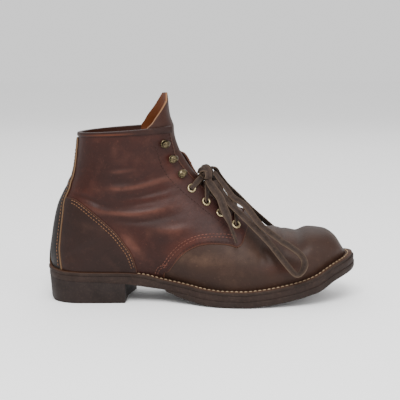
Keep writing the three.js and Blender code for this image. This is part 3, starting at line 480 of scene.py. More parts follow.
# Columns: row, how far down the tongue reaches on the lateral side and on the medial side.
TONGUE_ROWS = [
    (7.55, 0.86, 0.86), (8.5, 0.78, 0.78), (10, 0.72, 0.72), (14, 0.7, 0.67), (18, 0.72, 0.65),
    (20, 0.72, 0.626), (20.5, 0.79, 0.68), (21, 0.868, 0.749), (21.5, 0.965, 0.855), (22, 1.06, 0.965),
]
facing_share = table_of(FACING_ROWS, 1)
opening_share = table_of(OPENING_ROWS, 1)
tongue_lateral = table_of(TONGUE_ROWS, 1)
tongue_medial = table_of(TONGUE_ROWS, 2)


def throat_half(row):
    return THROAT_WIDTH * facing_share(row)


def opening_half(row):
    return THROAT_WIDTH * np.minimum(facing_share(row), opening_share(row))


def throat_middle(row):
    return THROAT_LEAN * ridge_at(row)


# Columns: along, up as a share of VAMP_HEIGHT above the ball.
VAMP_SEAM = [
    (0.381, -0.5), (0.381, 0.233), (0.394, 0.31), (0.41, 0.454), (0.423, 0.563), (0.441, 0.675),
    (0.462, 0.76), (0.488, 0.83), (0.522, 0.86), (0.566, 0.854), (0.592, 0.83), (0.611, 0.79),
    (0.626, 0.852), (0.637, 1.0), (0.649, 1.177), (0.654, 1.33),
]
# Columns: along, up as a share of SHAFT_HEIGHT above the heel's seat.
COUNTER_SEAM = [
    (0.0735, 0.533), (0.1037, 0.526), (0.1376, 0.478), (0.171, 0.415), (0.198, 0.359),
    (0.2315, 0.287), (0.2585, 0.208), (0.2774, 0.1435), (0.289, 0.065), (0.294, -0.02), (0.294, -0.3),
]
# Columns: half width as a share of HEEL_WIDTH, up as a share of SHAFT_HEIGHT.
BACKSTAY_EDGE = [
    (0.38, -0.025), (0.353, 0.065), (0.3, 0.213), (0.265, 0.4), (0.22, 0.51),
    (0.19, 0.6), (0.147, 0.674), (0.11, 0.77), (0.096, 0.88),
]
FAR = 120.0
vamp_line = np.array([(x_of(a), SOLE_STACK + u * VAMP_HEIGHT) for a, u in VAMP_SEAM])
tab_corner = 11
vamp_edge = np.concatenate([
    smooth_line(vamp_line[: tab_corner + 1]),
    smooth_line(vamp_line[tab_corner:])[1:],
])
counter_edge = smooth_line([(x_of(a), HEEL_SEAT + u * SHAFT_HEIGHT) for a, u in COUNTER_SEAM])
backstay_edge = smooth_line([(h * HEEL_WIDTH, HEEL_SEAT + u * SHAFT_HEIGHT) for h, u in BACKSTAY_EDGE])
backstay_half_at = curve_through(backstay_edge[:, 1], backstay_edge[:, 0])
quarter_outline = np.concatenate([
    vamp_edge,
    [(vamp_edge[-1, 0], COLLAR_Z + FAR), (HEEL_BACK - FAR, COLLAR_Z + FAR), (HEEL_BACK - FAR, -FAR),
     (vamp_edge[0, 0], -FAR)],
])
counter_outline = np.concatenate([
    counter_edge,
    [(HEEL_BACK - FAR, HEEL_SEAT - 0.3 * SHAFT_HEIGHT), (HEEL_BACK - FAR, HEEL_SEAT + 0.533 * SHAFT_HEIGHT)],
])


def side_view(points):
    return points[..., [0, 2]]


def rear_view(points):
    return points[..., [1, 2]]


collar_back = np.array([float(back_x_at(COLLAR_ROW)), float(back_z_at(COLLAR_ROW))])
collar_front = np.array([float(front_x_at(COLLAR_ROW)), float(front_z_at(COLLAR_ROW))])
collar_slope = (collar_front[1] - collar_back[1]) / (collar_front[0] - collar_back[0])


def below_collar(points):
    return collar_back[1] + (points[..., 0] - collar_back[0]) * collar_slope - points[..., 2]


def above_welt(points, depth):
    return points[..., 2] - top_z(points[..., 0]) + depth


def behind_backstay(points):
    return np.abs(points[..., 1]) - backstay_half_at(points[..., 2])


# Creases and dents of wear, seen from the side. Columns: sides that have it (-1 lateral,
# 1 medial, 0 both), depth in mm (negative raises), width in mm, then points as along and up,
# up being a share of SHAFT_HEIGHT above the heel's seat.
CREASES = [
    (-1, -1.1, 5.5, [(0.202, 0.609), (0.281, 0.620), (0.337, 0.646), (0.400, 0.682)]),
    (-1, 0.8, 5.5, [(0.19, 0.655), (0.275, 0.668), (0.337, 0.697)]),
    (-1, 1.1, 6.5, [(0.17, 0.555), (0.259, 0.551), (0.337, 0.573), (0.406, 0.609)]),
    (-1, -1.2, 5.5, [(0.165, 0.470), (0.228, 0.435), (0.281, 0.428), (0.337, 0.442), (0.391, 0.479)]),
    (-1, 0.7, 5.5, [(0.165, 0.515), (0.243, 0.493), (0.337, 0.515), (0.42, 0.555)]),
    (-1, 1.0, 7.0, [(0.20, 0.400), (0.290, 0.377), (0.369, 0.399), (0.43, 0.43)]),
    (-1, -0.9, 8.0, [(0.33, 0.325), (0.400, 0.312), (0.463, 0.333)]),
    (-1, -0.7, 5.0, [(0.195, 0.724), (0.25, 0.737), (0.306, 0.755)]),
    (-1, 1.2, 6.0, [(0.075, 0.575), (0.105, 0.560), (0.149, 0.537), (0.196, 0.486), (0.225, 0.44)]),
    (-1, -0.8, 6.0, [(0.10, 0.520), (0.15, 0.480), (0.20, 0.42)]),
    (-1, -0.9, 9.0, [(0.245, 0.29), (0.28, 0.21), (0.315, 0.13)]),
    (-1, 0.5, 4.0, [(0.33, 0.84), (0.38, 0.80), (0.42, 0.72)]),
    (1, 0.9, 6.0, [(0.09, 0.63), (0.14, 0.60), (0.20, 0.57), (0.27, 0.58), (0.34, 0.63)]),
    (1, -0.9, 7.0, [(0.10, 0.70), (0.18, 0.69), (0.26, 0.71), (0.35, 0.77)]),
    (1, 1.0, 7.0, [(0.16, 0.52), (0.23, 0.47), (0.31, 0.48), (0.40, 0.53)]),
    (1, -0.7, 8.0, [(0.18, 0.42), (0.26, 0.38), (0.34, 0.39), (0.42, 0.43)]),
    (0, 0.8, 5.0, [(0.015, 0.62), (0.05, 0.60), (0.09, 0.61)]),
    (0, 0.7, 5.0, [(0.02, 0.70), (0.06, 0.68), (0.10, 0.68)]),
    (-1, 0.9, 7.0, [(0.70, 0.27), (0.735, 0.20), (0.765, 0.12)]),
    (-1, 0.6, 5.0, [(0.67, 0.22), (0.70, 0.14), (0.72, 0.06)]),
    (1, 0.9, 7.0, [(0.70, 0.27), (0.73, 0.19), (0.75, 0.11)]),
    (1, 0.6, 5.0, [(0.66, 0.24), (0.69, 0.15), (0.70, 0.08)]),
]
# How far the medial facing stands off, in mm, and the row where it does so most.
FLARE = 7.5
FLARE_ROW = 12.8
# The leather's slow rise and fall, in mm.
UNEVENNESS = 0.25
# Painted highlights: places lightened to stand in for sheen, and made a little glossier. Columns: side,
# along, up as a share of SHAFT_HEIGHT above the heel's seat, half length and half width in mm, tilt in
# degrees, strength.
PAINTED_HIGHLIGHTS = [
    (-1, 0.275, 0.215, 16, 6, -50, 0.8), (-1, 0.490, 0.115, 24, 6, -4, 0.8),
    (-1, 0.245, 0.616, 16, 2.2, 3, 0.9), (-1, 0.375, 0.665, 12, 3.0, 12, 0.7),
    (-1, 0.25, 0.432, 18, 2.2, -6, 0.7), (-1, 0.36, 0.455, 14, 2.6, 12, 0.9),
    (-1, 0.228, 0.880, 3.0, 9, 0, 0.35), (-1, 0.40, 0.320, 18, 4.5, 4, 0.6),
    (-1, 0.235, 0.735, 9, 2.0, 4, 0.4),
    (-1, 0.62, 0.150, 22, 8, -6, 0.35), (-1, 0.15, 0.34, 14, 3, -12, 0.3),
    (1, 0.28, 0.50, 26, 4, 4, 0.7), (1, 0.36, 0.38, 22, 4, 8, 0.6), (1, 0.60, 0.15, 26, 8, -4, 0.5),
]
# Places worn to red, with the same columns.
REDDENED = [
    (-1, 0.465, 0.235, 20, 6, 18, 0.7), (-1, 0.395, 0.790, 5, 16, 20, 0.5),
    (-1, 0.35, 0.520, 26, 10, 6, 0.4), (-1, 0.735, 0.050, 16, 5, 0, 0.5),
    (-1, 0.30, 0.980, 34, 5, 4, 0.25), (-1, 0.12, 0.560, 12, 5, -14, 0.6),
    (-1, 0.425, 0.660, 6, 6, 0, 0.5), (1, 0.46, 0.24, 20, 6, 16, 0.8), (1, 0.34, 0.52, 26, 10, 4, 0.5),
]
# Folds across the top of the vamp. Columns: along, depth in mm, width in mm, bow in mm.
FLEX_FOLDS = [
    (0.815, 0.9, 9.0, 6.0), (0.765, 0.8, 6.0, 8.0), (0.735, -0.5, 6.0, 8.0), (0.705, 0.7, 5.0, 9.0),
]


def relief(points):
    """How far wear pushes the leather in (negative) or out, in mm."""
    flat = side_view(points)
    depth = np.zeros(points.shape[:-1])
    for side, deep, width, way in CREASES:
        line = smooth_line([(x_of(a), HEEL_SEAT + u * SHAFT_HEIGHT) for a, u in way])
        distance, where = distance_to_line(flat, line)
        fade = np.sin(np.pi * np.clip(where, 0.04, 0.96)) ** 0.7
        on_side = 1.0 if side == 0 else smoothstep(side * points[..., 1], 2, 14)
        depth -= deep * fade * on_side * np.exp(-((distance / (width / 2)) ** 2))
    for along, deep, width, bow in FLEX_FOLDS:
        off_centre = points[..., 1] / (BALL_WIDTH / 2)
        at = x_of(along) - bow * off_centre**2
        height = smoothstep(points[..., 2] - top_z(points[..., 0]), 18, 42)
        depth -= deep * height * np.exp(-(((points[..., 0] - at) / (width / 2)) ** 2))
    x, y, z = (points[..., k] for k in range(3))
    return depth + UNEVENNESS * np.sin(x / 23 + 1.3) * np.sin(z / 17 + 0.4) * np.sin(y / 19)


def flare(row, side, points):
    """The inner facing stands off the tongue where the lacing has pulled it about."""
    behind = np.abs(points[..., 1] - throat_middle(row)) - throat_half(row)
    near = 1 - smoothstep(behind, 2, 20)
    return np.where(side > 0, FLARE * near * np.exp(-(((row - FLARE_ROW) / 1.5) ** 2)), 0.0)


def push_at(row, side, points):
    return relief(points) + flare(row, side, points)


def soft_spots(points, table):
    """Strength, 0 to 1, of soft patches seen from the side."""
    flat = side_view(points)
    total = np.zeros(points.shape[:-1])
    for side, along, up, long, wide, tilt, strength in table:
        turn = math.radians(tilt)
        off = flat - np.array([x_of(along), HEEL_SEAT + up * SHAFT_HEIGHT])
        u = (off[..., 0] * math.cos(turn) + off[..., 1] * math.sin(turn)) / long
        v = (off[..., 1] * math.cos(turn) - off[..., 0] * math.sin(turn)) / wide
        on_side = smoothstep(side * points[..., 1], 0, 10)
        total = total + strength * on_side * np.exp(-(u * u + v * v))
    return np.clip(total, 0, 1)


# A sheet of leather trimmed to a shape on the last, with rounded edges and a wall all round.
def sheet(rows, sides, inside, top, bottom, edge_drop=0.4, edge_width=1.6, worn=True):
    """rows and sides are the grid. inside gives the distance in mm to the trimmed edge,
    positive on the sheet. top and bottom are offsets from the last in mm."""
    row_grid, side_grid = np.meshgrid(rows, sides, indexing="ij")
    field = inside(row_grid, side_grid, surface(row_grid, side_grid))
    count = len(sides)
    spots = {}
    places = []

    def spot(key, row, side):
        if key not in spots:
            spots[key] = len(places)
            places.append((row, side))
        return spots[key]

    def corner(i, j):
        return spot((i, j), rows[i], sides[j])

    def crossing(a, b):
        low, high = (a, b) if a < b else (b, a)
        t = field[low] / (field[low] - field[high])
        row = lerp(rows[low[0]], rows[high[0]], t)
        return spot((low, high), row, lerp(sides[low[1]], sides[high[1]], t))

    faces = []
    kept = field > 0
    for i in range(len(rows) - 1):
        for j in range(count - 1):
            cell = [(i, j), (i, j + 1), (i + 1, j + 1), (i + 1, j)]
            if not any(kept[c] for c in cell):
                continue
            face = []
            for c, d in zip(cell, cell[1:] + cell[:1]):
                if kept[c]:
                    face.append(corner(*c))
                if kept[c] != kept[d]:
                    face.append(crossing(c, d))
            faces.append(tuple(face))
    at = np.array(places)
    base = surface(at[:, 0], at[:, 1])
    normal = surface_normal(at[:, 0], at[:, 1])
    field_at = np.maximum(inside(at[:, 0], at[:, 1], base), 0)
    near_edge = 1 - np.clip(field_at / edge_width, 0, 1)
    push = push_at(at[:, 0], at[:, 1], base) if worn else np.zeros(len(base))
    lift = top + push - edge_drop * near_edge**2
    upper_points = base + normal * lift[:, None]
    lower_points = base + normal * (bottom + push)[:, None]
    edges = dict.fromkeys(pair for face in faces for pair in zip(face, face[1:] + face[:1]))
    start = len(base)
    walls = [(b, a, a + start, b + start) for a, b in edges if (b, a) not in edges]
    under = [tuple(k + start for k in reversed(face)) for face in faces]
    points = np.concatenate([upper_points, lower_points])
    edge = np.concatenate([near_edge, np.ones(start)])
    inner = np.concatenate([np.zeros(start), np.ones(start)])
    # The relief, kept for painted highlights on raised creases and painted shade in sunk ones.
    wear = np.tile(relief(base) if worn else push, 2)
    # Painted highlight patches, which stand in for sheen.
    shine = np.tile(soft_spots(base, PAINTED_HIGHLIGHTS), 2)
    red = np.tile(soft_spots(base, REDDENED), 2)
    marks = {"edge": edge, "inner": inner, "wear": wear, "shine": shine, "red": red}
    return points, faces + under + walls, marks


# Colours are given as 0 to 255 screen values.
def colour(*screen):
    shares = [c / 255 for c in screen]
    return tuple(c / 12.92 if c <= 0.04045 else ((c + 0.055) / 1.055) ** 2.4 for c in shares) + (1.0,)


class Nodes:
    """A short way to wire a material."""

    def __init__(self, name):
        self.material = bpy.data.materials.new(name)
        self.material.use_nodes = True
        self.tree = self.material.node_tree
        self.shader = self.tree.nodes["Principled BSDF"]

    def add(self, kind, **settings):
        node = self.tree.nodes.new(kind)
        for key, value in settings.items():
            setattr(node, key, value)
        return node

    def link(self, a, b):
        self.tree.links.new(a, b)

    def feed(self, socket, value):
        self.link(value, self.shader.inputs[socket])

    def noise(self, scale, detail=3.0, roughness=0.55):
        node = self.add("ShaderNodeTexNoise")
        node.inputs["Scale"].default_value = scale
        node.inputs["Detail"].default_value = detail
        node.inputs["Roughness"].default_value = roughness
        self.link(self.place(), node.inputs["Vector"])
        return node.outputs["Fac"]

    def cells(self, scale):
        node = self.add("ShaderNodeTexVoronoi", feature="SMOOTH_F1")
        node.inputs["Scale"].default_value = scale
        self.link(self.place(), node.inputs["Vector"])
        return node.outputs["Distance"]

    def place(self):
        if not hasattr(self, "coordinates"):
            self.coordinates = self.add("ShaderNodeTexCoord")
        return self.coordinates.outputs["Object"]

    def attribute(self, name):
        return self.add("ShaderNodeAttribute", attribute_name=name).outputs["Fac"]

    def spread(self, value, low, high, to_low=0.0, to_high=1.0):
        node = self.add("ShaderNodeMapRange")
        self.link(value, node.inputs["Value"])
        node.inputs["From Min"].default_value = low
        node.inputs["From Max"].default_value = high
        node.inputs["To Min"].default_value = to_low
        node.inputs["To Max"].default_value = to_high
        return node.outputs["Result"]

    def maths(self, operation, a, b):
        node = self.add("ShaderNodeMath", operation=operation)
        for socket, value in zip(node.inputs, (a, b)):
            if isinstance(value, (int, float)):
                socket.default_value = value
            else:
                self.link(value, socket)
        return node.outputs[0]

    def mix(self, factor, a, b):
        node = self.add("ShaderNodeMix", data_type="RGBA")
        self.link(factor, node.inputs[0])
        for socket, value in ((node.inputs[6], a), (node.inputs[7], b)):
            if isinstance(value, tuple):
                socket.default_value = colour(*value)
            else:
                self.link(value, socket)
        return node.outputs[2]

    def bump(self, height, distance, strength=1.0, under=None):
        node = self.add("ShaderNodeBump")
        node.inputs["Distance"].default_value = distance
        node.inputs["Strength"].default_value = strength
        self.link(height, node.inputs["Height"])
        if under is not None:
            self.link(under, node.inputs["Normal"])
        return node.outputs["Normal"]


def leather(name, base, dark, light, raw, roughness=(0.40, 0.60), grain=0.00010, patches=26.0,
            inside=None, red=None):
    """Waxed leather: cloudy colour, fine grain, painted highlights where creases rise and painted shade
    where they sink, painted highlights on sheen patches, raw edges.
    """
    n = Nodes(name)
    clouds = n.spread(n.noise(patches, 4.0, 0.6), 0.34, 0.68, 0.0, 0.85)
    tone = n.mix(clouds, base, dark)
    rubbed = n.spread(n.noise(patches * 2.3, 5.0, 0.65), 0.52, 0.8, 0.0, 0.22)
    tone = n.mix(rubbed, tone, light)
    if red is not None:
        broken = n.spread(n.noise(70.0, 4.0, 0.6), 0.3, 0.65, 0.15, 1.0)
        tone = n.mix(n.maths("MULTIPLY", n.attribute("red"), broken), tone, red)
    # Painted highlight where creases rise and painted shade where they sink.
    ridge_highlight = n.spread(n.attribute("wear"), 0.25, 1.1, 0.0, 0.4)
    tone = n.mix(ridge_highlight, tone, light)
    trough_shade = n.spread(n.attribute("wear"), -0.2, -1.0, 0.0, 0.6)
    tone = n.mix(trough_shade, tone, dark)
    streaks = n.spread(n.noise(110.0, 4.0, 0.65), 0.3, 0.7, 0.1, 0.75)
    # Painted highlight: the sheen patches lighten the colour, broken up by streaks.
    painted_sheen = n.maths("MULTIPLY", n.attribute("shine"), streaks)
    tone = n.mix(painted_sheen, tone, light)
    edge = n.spread(n.attribute("edge"), 0.55, 1.0, 0.0, 0.8)
    tone = n.mix(edge, tone, raw)
    if inside is not None:
        tone = n.mix(n.attribute("inner"), tone, inside)
    scratches = n.spread(n.noise(420.0, 2.0, 0.5), 0.62, 0.8, 0.0, 0.25)
    tone = n.mix(scratches, tone, light)
    n.feed("Base Color", tone)
    gloss = n.spread(clouds, 0.0, 1.0, roughness[0], roughness[1])
    n.feed("Roughness", n.maths("SUBTRACT", gloss, n.maths("MULTIPLY", painted_sheen, 0.14)))
    pores = n.bump(n.cells(1500.0), grain, 0.8)
    wrinkles = n.bump(n.noise(240.0, 4.0, 0.6), grain * 2.4, 0.7, pores)
    n.feed("Normal", wrinkles)
    n.shader.inputs["Specular IOR Level"].default_value = 0.16
    n.shader.inputs["Coat Weight"].default_value = 0.04
    n.shader.inputs["Coat Roughness"].default_value = 0.40
    return n.material


def dull(name, base, dark, light, roughness=0.7, fine=500.0, depth=0.0002, coarse=40.0, rim=None):
    """A matt, dusty surface, such as a sole's edge or a flat lace."""
    n = Nodes(name)
    tone = n.mix(n.spread(n.noise(coarse, 4.0, 0.6), 0.35, 0.7), base, dark)
    tone = n.mix(n.spread(n.noise(fine, 3.0, 0.6), 0.5, 0.75, 0.0, 0.6), tone, light)
    if rim is not None:
        tone = n.mix(n.spread(n.attribute("rim"), 0.0, 1.0, 0.0, 0.7), tone, rim)
    n.feed("Base Color", tone)
    n.feed("Roughness", n.spread(n.noise(coarse * 2), 0.3, 0.7, roughness - 0.1, roughness + 0.1))
    n.feed("Normal", n.bump(n.noise(fine, 4.0, 0.6), depth, 0.8))
    n.shader.inputs["Specular IOR Level"].default_value = 0.2
    return n.material


def metal(name, base, dark, roughness=0.35):
    n = Nodes(name)
    tone = n.mix(n.spread(n.noise(700.0, 3.0), 0.4, 0.65), base, dark)
    n.feed("Base Color", tone)
    n.feed("Roughness", n.spread(n.noise(900.0), 0.3, 0.7, roughness - 0.1, roughness + 0.2))
    n.shader.inputs["Metallic"].default_value = 1.0
    n.feed("Normal", n.bump(n.noise(600.0), 0.00005, 0.6))
    return n.material


quarter_leather = leather(
    "quarter_leather", (43, 17, 11), (31, 13, 9), (90, 54, 43), (84, 52, 34),
    inside=(46, 22, 13), red=(66, 27, 16))
vamp_leather = leather(
    "vamp_leather", (46, 28, 20), (36, 23, 17), (86, 64, 50), (66, 44, 30),
    roughness=(0.48, 0.62), patches=20.0, inside=(46, 22, 13), red=(62, 26, 15))
counter_leather = leather(
    "counter_leather", (33, 16, 11), (26, 13, 9), (72, 48, 38), (74, 46, 30),
    red=(52, 18, 10))
backstay_leather = leather(
    "backstay_leather", (20, 11, 8), (14, 8, 6), (36, 24, 19), (118, 92, 68),
    roughness=(0.52, 0.66))
tongue_leather = leather(
    "tongue_leather", (46, 22, 14), (34, 17, 12), (76, 44, 30), (140, 104, 70),
    inside=(84, 42, 16))
# Its raw colour is the painted highlight on the binding's lower part.
binding_leather = leather(
    "binding_leather", (38, 17, 12), (28, 14, 10), (76, 42, 28), (84, 42, 24))
insole_leather = dull("insole_leather", (92, 60, 36), (70, 44, 28), (112, 78, 50))
welt_finish = dull(
    "welt_finish", (38, 26, 20), (30, 21, 17), (56, 42, 32), fine=420.0,
    rim=(66, 42, 28))
sole_edge = dull("sole_edge", (40, 27, 22), (31, 22, 18), (56, 42, 34))
outsole_finish = dull("outsole_finish", (38, 26, 21), (29, 21, 17), (54, 41, 33))
heel_finish = dull("heel_finish", (35, 25, 22), (27, 20, 18), (48, 38, 32))
lace_finish = dull(
    "lace_finish", (40, 29, 24), (28, 21, 18), (62, 49, 41), roughness=0.82, fine=650.0,
    depth=0.0003, coarse=90.0, rim=(86, 70, 56))
eyelet_metal = metal("eyelet_metal", (182, 166, 130), (96, 82, 58))
hook_metal = metal("hook_metal", (98, 88, 66), (50, 43, 34))
tan_thread, red_thread, dark_thread, welt_thread = (
    dull(name, *tones, fine=2500.0, depth=0.00008)
    for name, tones in (
        ("tan_thread", ((118, 82, 54), (84, 56, 38), (150, 114, 82))),
        ("red_thread", ((98, 58, 46), (68, 38, 30), (128, 86, 70))),
        ("dark_thread", ((40, 20, 14), (30, 16, 12), (62, 38, 28))),
        ("welt_thread", ((150, 130, 104), (112, 92, 70), (184, 166, 140))),
    )
)


# Camera, from the outer side: place in metres, degrees down and focal length in mm.
CAMERA_PLACE = (0.109, -0.960, 0.250)
CAMERA_DOWN = 9.0
FOCAL_LENGTH = 87.48


def make_camera():
    data = bpy.data.cameras.new("camera")
    data.sensor_width = 36.0
    data.lens = FOCAL_LENGTH
    camera = bpy.data.objects.new("camera", data)
    camera.location = CAMERA_PLACE
    camera.rotation_euler = (math.radians(90.0 - CAMERA_DOWN), 0, 0)
    bpy.context.scene.collection.objects.link(camera)
    bpy.context.scene.camera = camera


make_camera()


# The lace. Its free runs follow the same points as their solids.
LATERAL_LOOP = [
    (123.1, -9.8, 127.1), (135, -18, 112.4), (141.3, -24, 104.7), (153.7, -31, 96.5),
    (166.8, -41, 80.7), (184.8, -51, 67.7), (203.5, -57, 55.4), (208.6, -58, 44),
    (201.5, -58, 34.6), (190.6, -56, 45.3), (176, -50, 63.1), (156.4, -38, 81.9),
    (139.2, -27, 97.5), (130.2, -19, 108.7), (123.6, -12.5, 119.4),
]
LATERAL_END = [
    (116.3, -13.9, 120.6), (122.6, -24, 112.2), (128.4, -30, 104.8), (131.7, -36, 96.3),
    (135.5, -41, 87.7), (138.8, -45, 78.6), (144.1, -49.5, 64),
]
MEDIAL_LOOP = [
    (119.8, -0.5, 131.2), (124.5, 9, 128.5), (128.5, 17.5, 120.5), (136, 27.5, 109.5), (148, 36, 97),
    (162, 45, 82), (178, 53, 67), (194, 58, 52), (199, 59, 41), (191, 58.5, 36), (178, 56.5, 49),
    (160, 50, 66), (144, 41, 82), (131, 31, 99), (124.5, 20, 114.5), (122.3, 9.5, 122), (121, 3.4, 125.2),
]
MEDIAL_END = [
    (113, 0.7, 129.6), (114, 11, 128), (115.8, 21, 120.5), (118.6, 30, 111), (121, 38.5, 99),
    (123, 44, 87), (125, 48, 74), (127, 50.5, 60),
]


def even_line(points, step):
    """The smooth line through points, cut into even steps."""
    line = smooth_line(points, 16)
    lengths = lengths_along(line)
    count = max(int(round(lengths[-1] / step)), 2)
    at = np.linspace(0, lengths[-1], count + 1)
    return at_lengths(at, lengths, line), lengths[-1]


def ribbon(line, flat_way, width, thickness):
    """A flat lace along a line. flat_way is the direction its face looks, one per point or one
    for all. width may change along it."""
    ahead = unit(np.gradient(line, axis=0))
    face = np.broadcast_to(np.asarray(flat_way, float), line.shape)
    across = unit(np.cross(ahead, face))
    face = unit(np.cross(across, ahead))
    width = np.broadcast_to(width, (len(line),))
    thickness = np.broadcast_to(thickness, (len(line),))
    corner = 0.55
    section = [
        (-1, -corner), (-0.8, -1), (0, -1.05), (0.8, -1), (1, -corner),
        (1, corner), (0.8, 1), (0, 1.05), (-0.8, 1), (-1, corner),
    ]
    rings = [
        line + across * (u * width / 2)[:, None] + face * (v * thickness / 2)[:, None] for u, v in section
    ]
    return tube(rings)


# The ribbon's edges are paler than its faces, by point of its section.
RIBBON_RIM = [1.0, 0.25, 0.0, 0.25, 1.0, 1.0, 0.25, 0.0, 0.25, 1.0]


def lace_object(name, part):
    rim = np.tile(RIBBON_RIM, len(part[0]) // len(RIBBON_RIM))
    return make_object(name, *part, lace_finish, {"rim": rim})


def free_lace(name, node, points, width, flat_way):
    line, length = even_line(points, 2.0)
    turn = np.linspace(0, 1, len(line))[:, None]
    ways = flat_way[0] * (1 - turn) + flat_way[-1] * turn
    taper = np.interp(np.linspace(0, 1, len(line)), *width)
    part = ribbon(line, ways, taper, LACE_THICKNESS)
    obj = settle(lace_object(name, part), "lace", node)


# How wide the loops and the ends are along their length: shares of it, then widths in mm.
bow_width = ([0.0, 0.12, 1.0], [4.2, LACE_WIDTH, LACE_WIDTH])
end_width = ([0.0, 0.1, 0.62, 0.74, 1.0], [6.0, 8.0, 8.0, 3.6, 2.6])
loop_ways = [(0.2, 0.9, 0.6), (-0.4, 0.12, 1)]
end_ways = [(0.25, 1, 0.3), (0.3, 1, 0.2)]
for place, side, loop, end in (
    ("near", "lateral", LATERAL_LOOP, LATERAL_END), ("far", "medial", MEDIAL_LOOP, MEDIAL_END),
):
    turn = np.array([1, -1 if side == "lateral" else 1, 1])
    free_lace(f"lace_loop_{place}", f"lace_loop_{side}", loop, bow_width, loop_ways * turn)
    free_lace(f"lace_end_{place}", f"lace_end_{side}", end, end_width, end_ways * turn)


# Upper: the vamp, then the quarters a step above it.
def steps_between(low, high, step):
    return np.linspace(low, high, int(round((high - low) / step)) + 1)


def vamp_inside(row, side, points):
    first_row = OPENING_ROWS[0][0]
    gap_half = np.where(row > first_row, opening_half(row), -1.0)
    off_middle = np.abs(points[..., 1] - throat_middle(row))
    edge = np.where(row > first_row - 0.35, off_middle - gap_half, FAR)
    hidden = 14.0 - inside_outline(side_view(points), quarter_outline)
    return np.minimum(np.minimum(edge, above_welt(points, 2.0)), hidden)


# How the vamp closes at the tip. Columns: share of the way to the middle, forward bow in mm.
TOE_CLOSING = [(0.0, 0.0), (0.15, 0.6), (0.4, 0.9), (0.7, 0.9), (1.0, 0.6)]


VAMP_INSIDE = -VAMP_WALL + 0.15


def make_vamp():
    rows = steps_between(0, 11.4, 0.08)
    sides = steps_between(-1, 1, 0.0105)
    points, faces, marks = sheet(rows, sides, vamp_inside, 0.0, VAMP_INSIDE)
    front = surface(0.0, sides)
    middle = front.mean(axis=0) + np.array([1.2, 0, -1.5])
    rings = [lerp(front, middle, share) + np.array([bow, 0, 0]) for share, bow in TOE_CLOSING]
    tip = np.concatenate(rings)
    points, faces = join_meshes([(points, faces), (tip, flipped(grid_faces(len(rings), len(sides))))])
    marks = {key: np.concatenate([values, np.zeros(len(tip))]) for key, values in marks.items()}
    settle(make_object("vamp", points, faces, vamp_leather, marks), "upper_leather", "upper")


def quarter_inside(row, side, points):
    throat = np.abs(points[..., 1] - throat_middle(row)) - throat_half(row)
    throat = np.where(np.abs(side) > 0.6, FAR, throat)
    seam = inside_outline(side_view(points), quarter_outline)
    return np.minimum(np.minimum(throat, seam), np.minimum(above_welt(points, 2.0), below_collar(points)))


def make_quarter(name, low, high):
    rows = steps_between(7.75, 20.3, 0.075)
    sides = steps_between(low, high, 0.0095)
    points, faces, marks = sheet(rows, sides, holed(quarter_inside), QUARTER_STEP, -VAMP_WALL)
    settle(make_object(name, points, faces, quarter_leather, marks), "upper_leather", "upper")


def side_behind_facing(row, sign, distance):
    """The side parameter that lies a distance behind the facing's edge."""
    side = np.arange(0, 1, 0.002) * sign
    points = skin(np.full(len(side), float(row)), side, np.full(len(side), QUARTER_STEP))
    start = np.argmax(np.abs(points[:, 1] - throat_middle(row)) >= throat_half(row))
    run = lengths_along(points[start:])
    return float(side[start + np.argmax(run >= distance)])


EYELET_ROWS = [11.15, 10.3, 9.62, 8.9]
# Columns: row, share of EDGE_TO_EYELET behind the facing's edge.
HOOK_ROWS = [(17.9, 0.95), (14.4, 0.66), (12.15, 0.7)]
SIDES = [("lateral", -1), ("medial", 1)]
eyelet_places = [
    (name, i + 1, row, side_behind_facing(row, sign, EDGE_TO_EYELET))
    for name, sign in SIDES
    for i, row in enumerate(EYELET_ROWS)
]
hook_places = [
    (name, i + 1, row, side_behind_facing(row, sign, EDGE_TO_EYELET * share))
    for name, sign in SIDES
    for i, (row, share) in enumerate(HOOK_ROWS)
]


def seat(row, side, offset=QUARTER_STEP):
    """A frame on the quarter: where it is, and its across, along and outward directions."""
    row, side = np.array(row), np.array(side)
    base = surface(row, side)
    normal = surface_normal(row, side)
    point = base + normal * (offset + push_at(row, side, base))
    across = unit(np.cross(np.array([0, 0, 1.0]), normal))
    along = np.cross(normal, across)
    return point, across, along, normal


def holed(inside):
    centres = [surface(row, side) for _, _, row, side in eyelet_places]
    hole = EYELET_HOLE / 2 + EYELET_BARREL

    def with_holes(row, side, points):
        value = inside(row, side, points)
        for centre in centres:
            value = np.minimum(value, np.linalg.norm(points - centre, axis=-1) - hole)
        return value

    return with_holes


make_vamp()
make_quarter("quarter_lateral", -1.0, -0.02)
make_quarter("quarter_medial", 0.02, 1.0)


# Counters, backstay and collar binding, laid on the quarters.
OVERLAY_BASE = QUARTER_STEP + 0.35
COUNTER_TOP = OVERLAY_BASE + COUNTER_THICKNESS - 0.3
BACKSTAY_TOP = OVERLAY_BASE + BACKSTAY_THICKNESS - 0.35


def counter_inside(row, side, points):
    seam = inside_outline(side_view(points), counter_outline)
    return np.minimum(np.minimum(seam, behind_backstay(points) - GAP), above_welt(points, 0.0) - GAP)


def make_counter(name, node, low, high):
    rows = steps_between(10.2, 18.5, 0.06)
    sides = steps_between(low, high, 0.0085)
    points, faces, marks = sheet(rows, sides, counter_inside, COUNTER_TOP, OVERLAY_BASE)
    settle(make_object(name, points, faces, counter_leather, marks), "counter_leather", node)


make_counter("counter_near", "counter_lateral", -0.99, -0.25)
make_counter("counter_far", "counter_medial", 0.25, 0.99)


def backstay_inside(row, side, points):
    back = np.where(points[..., 0] < 15, -behind_backstay(points), -1.0)
    under_binding = below_collar(points) - BINDING_HEIGHT - GAP
    return np.minimum(np.minimum(back, under_binding), above_welt(points, 0.0) - GAP)


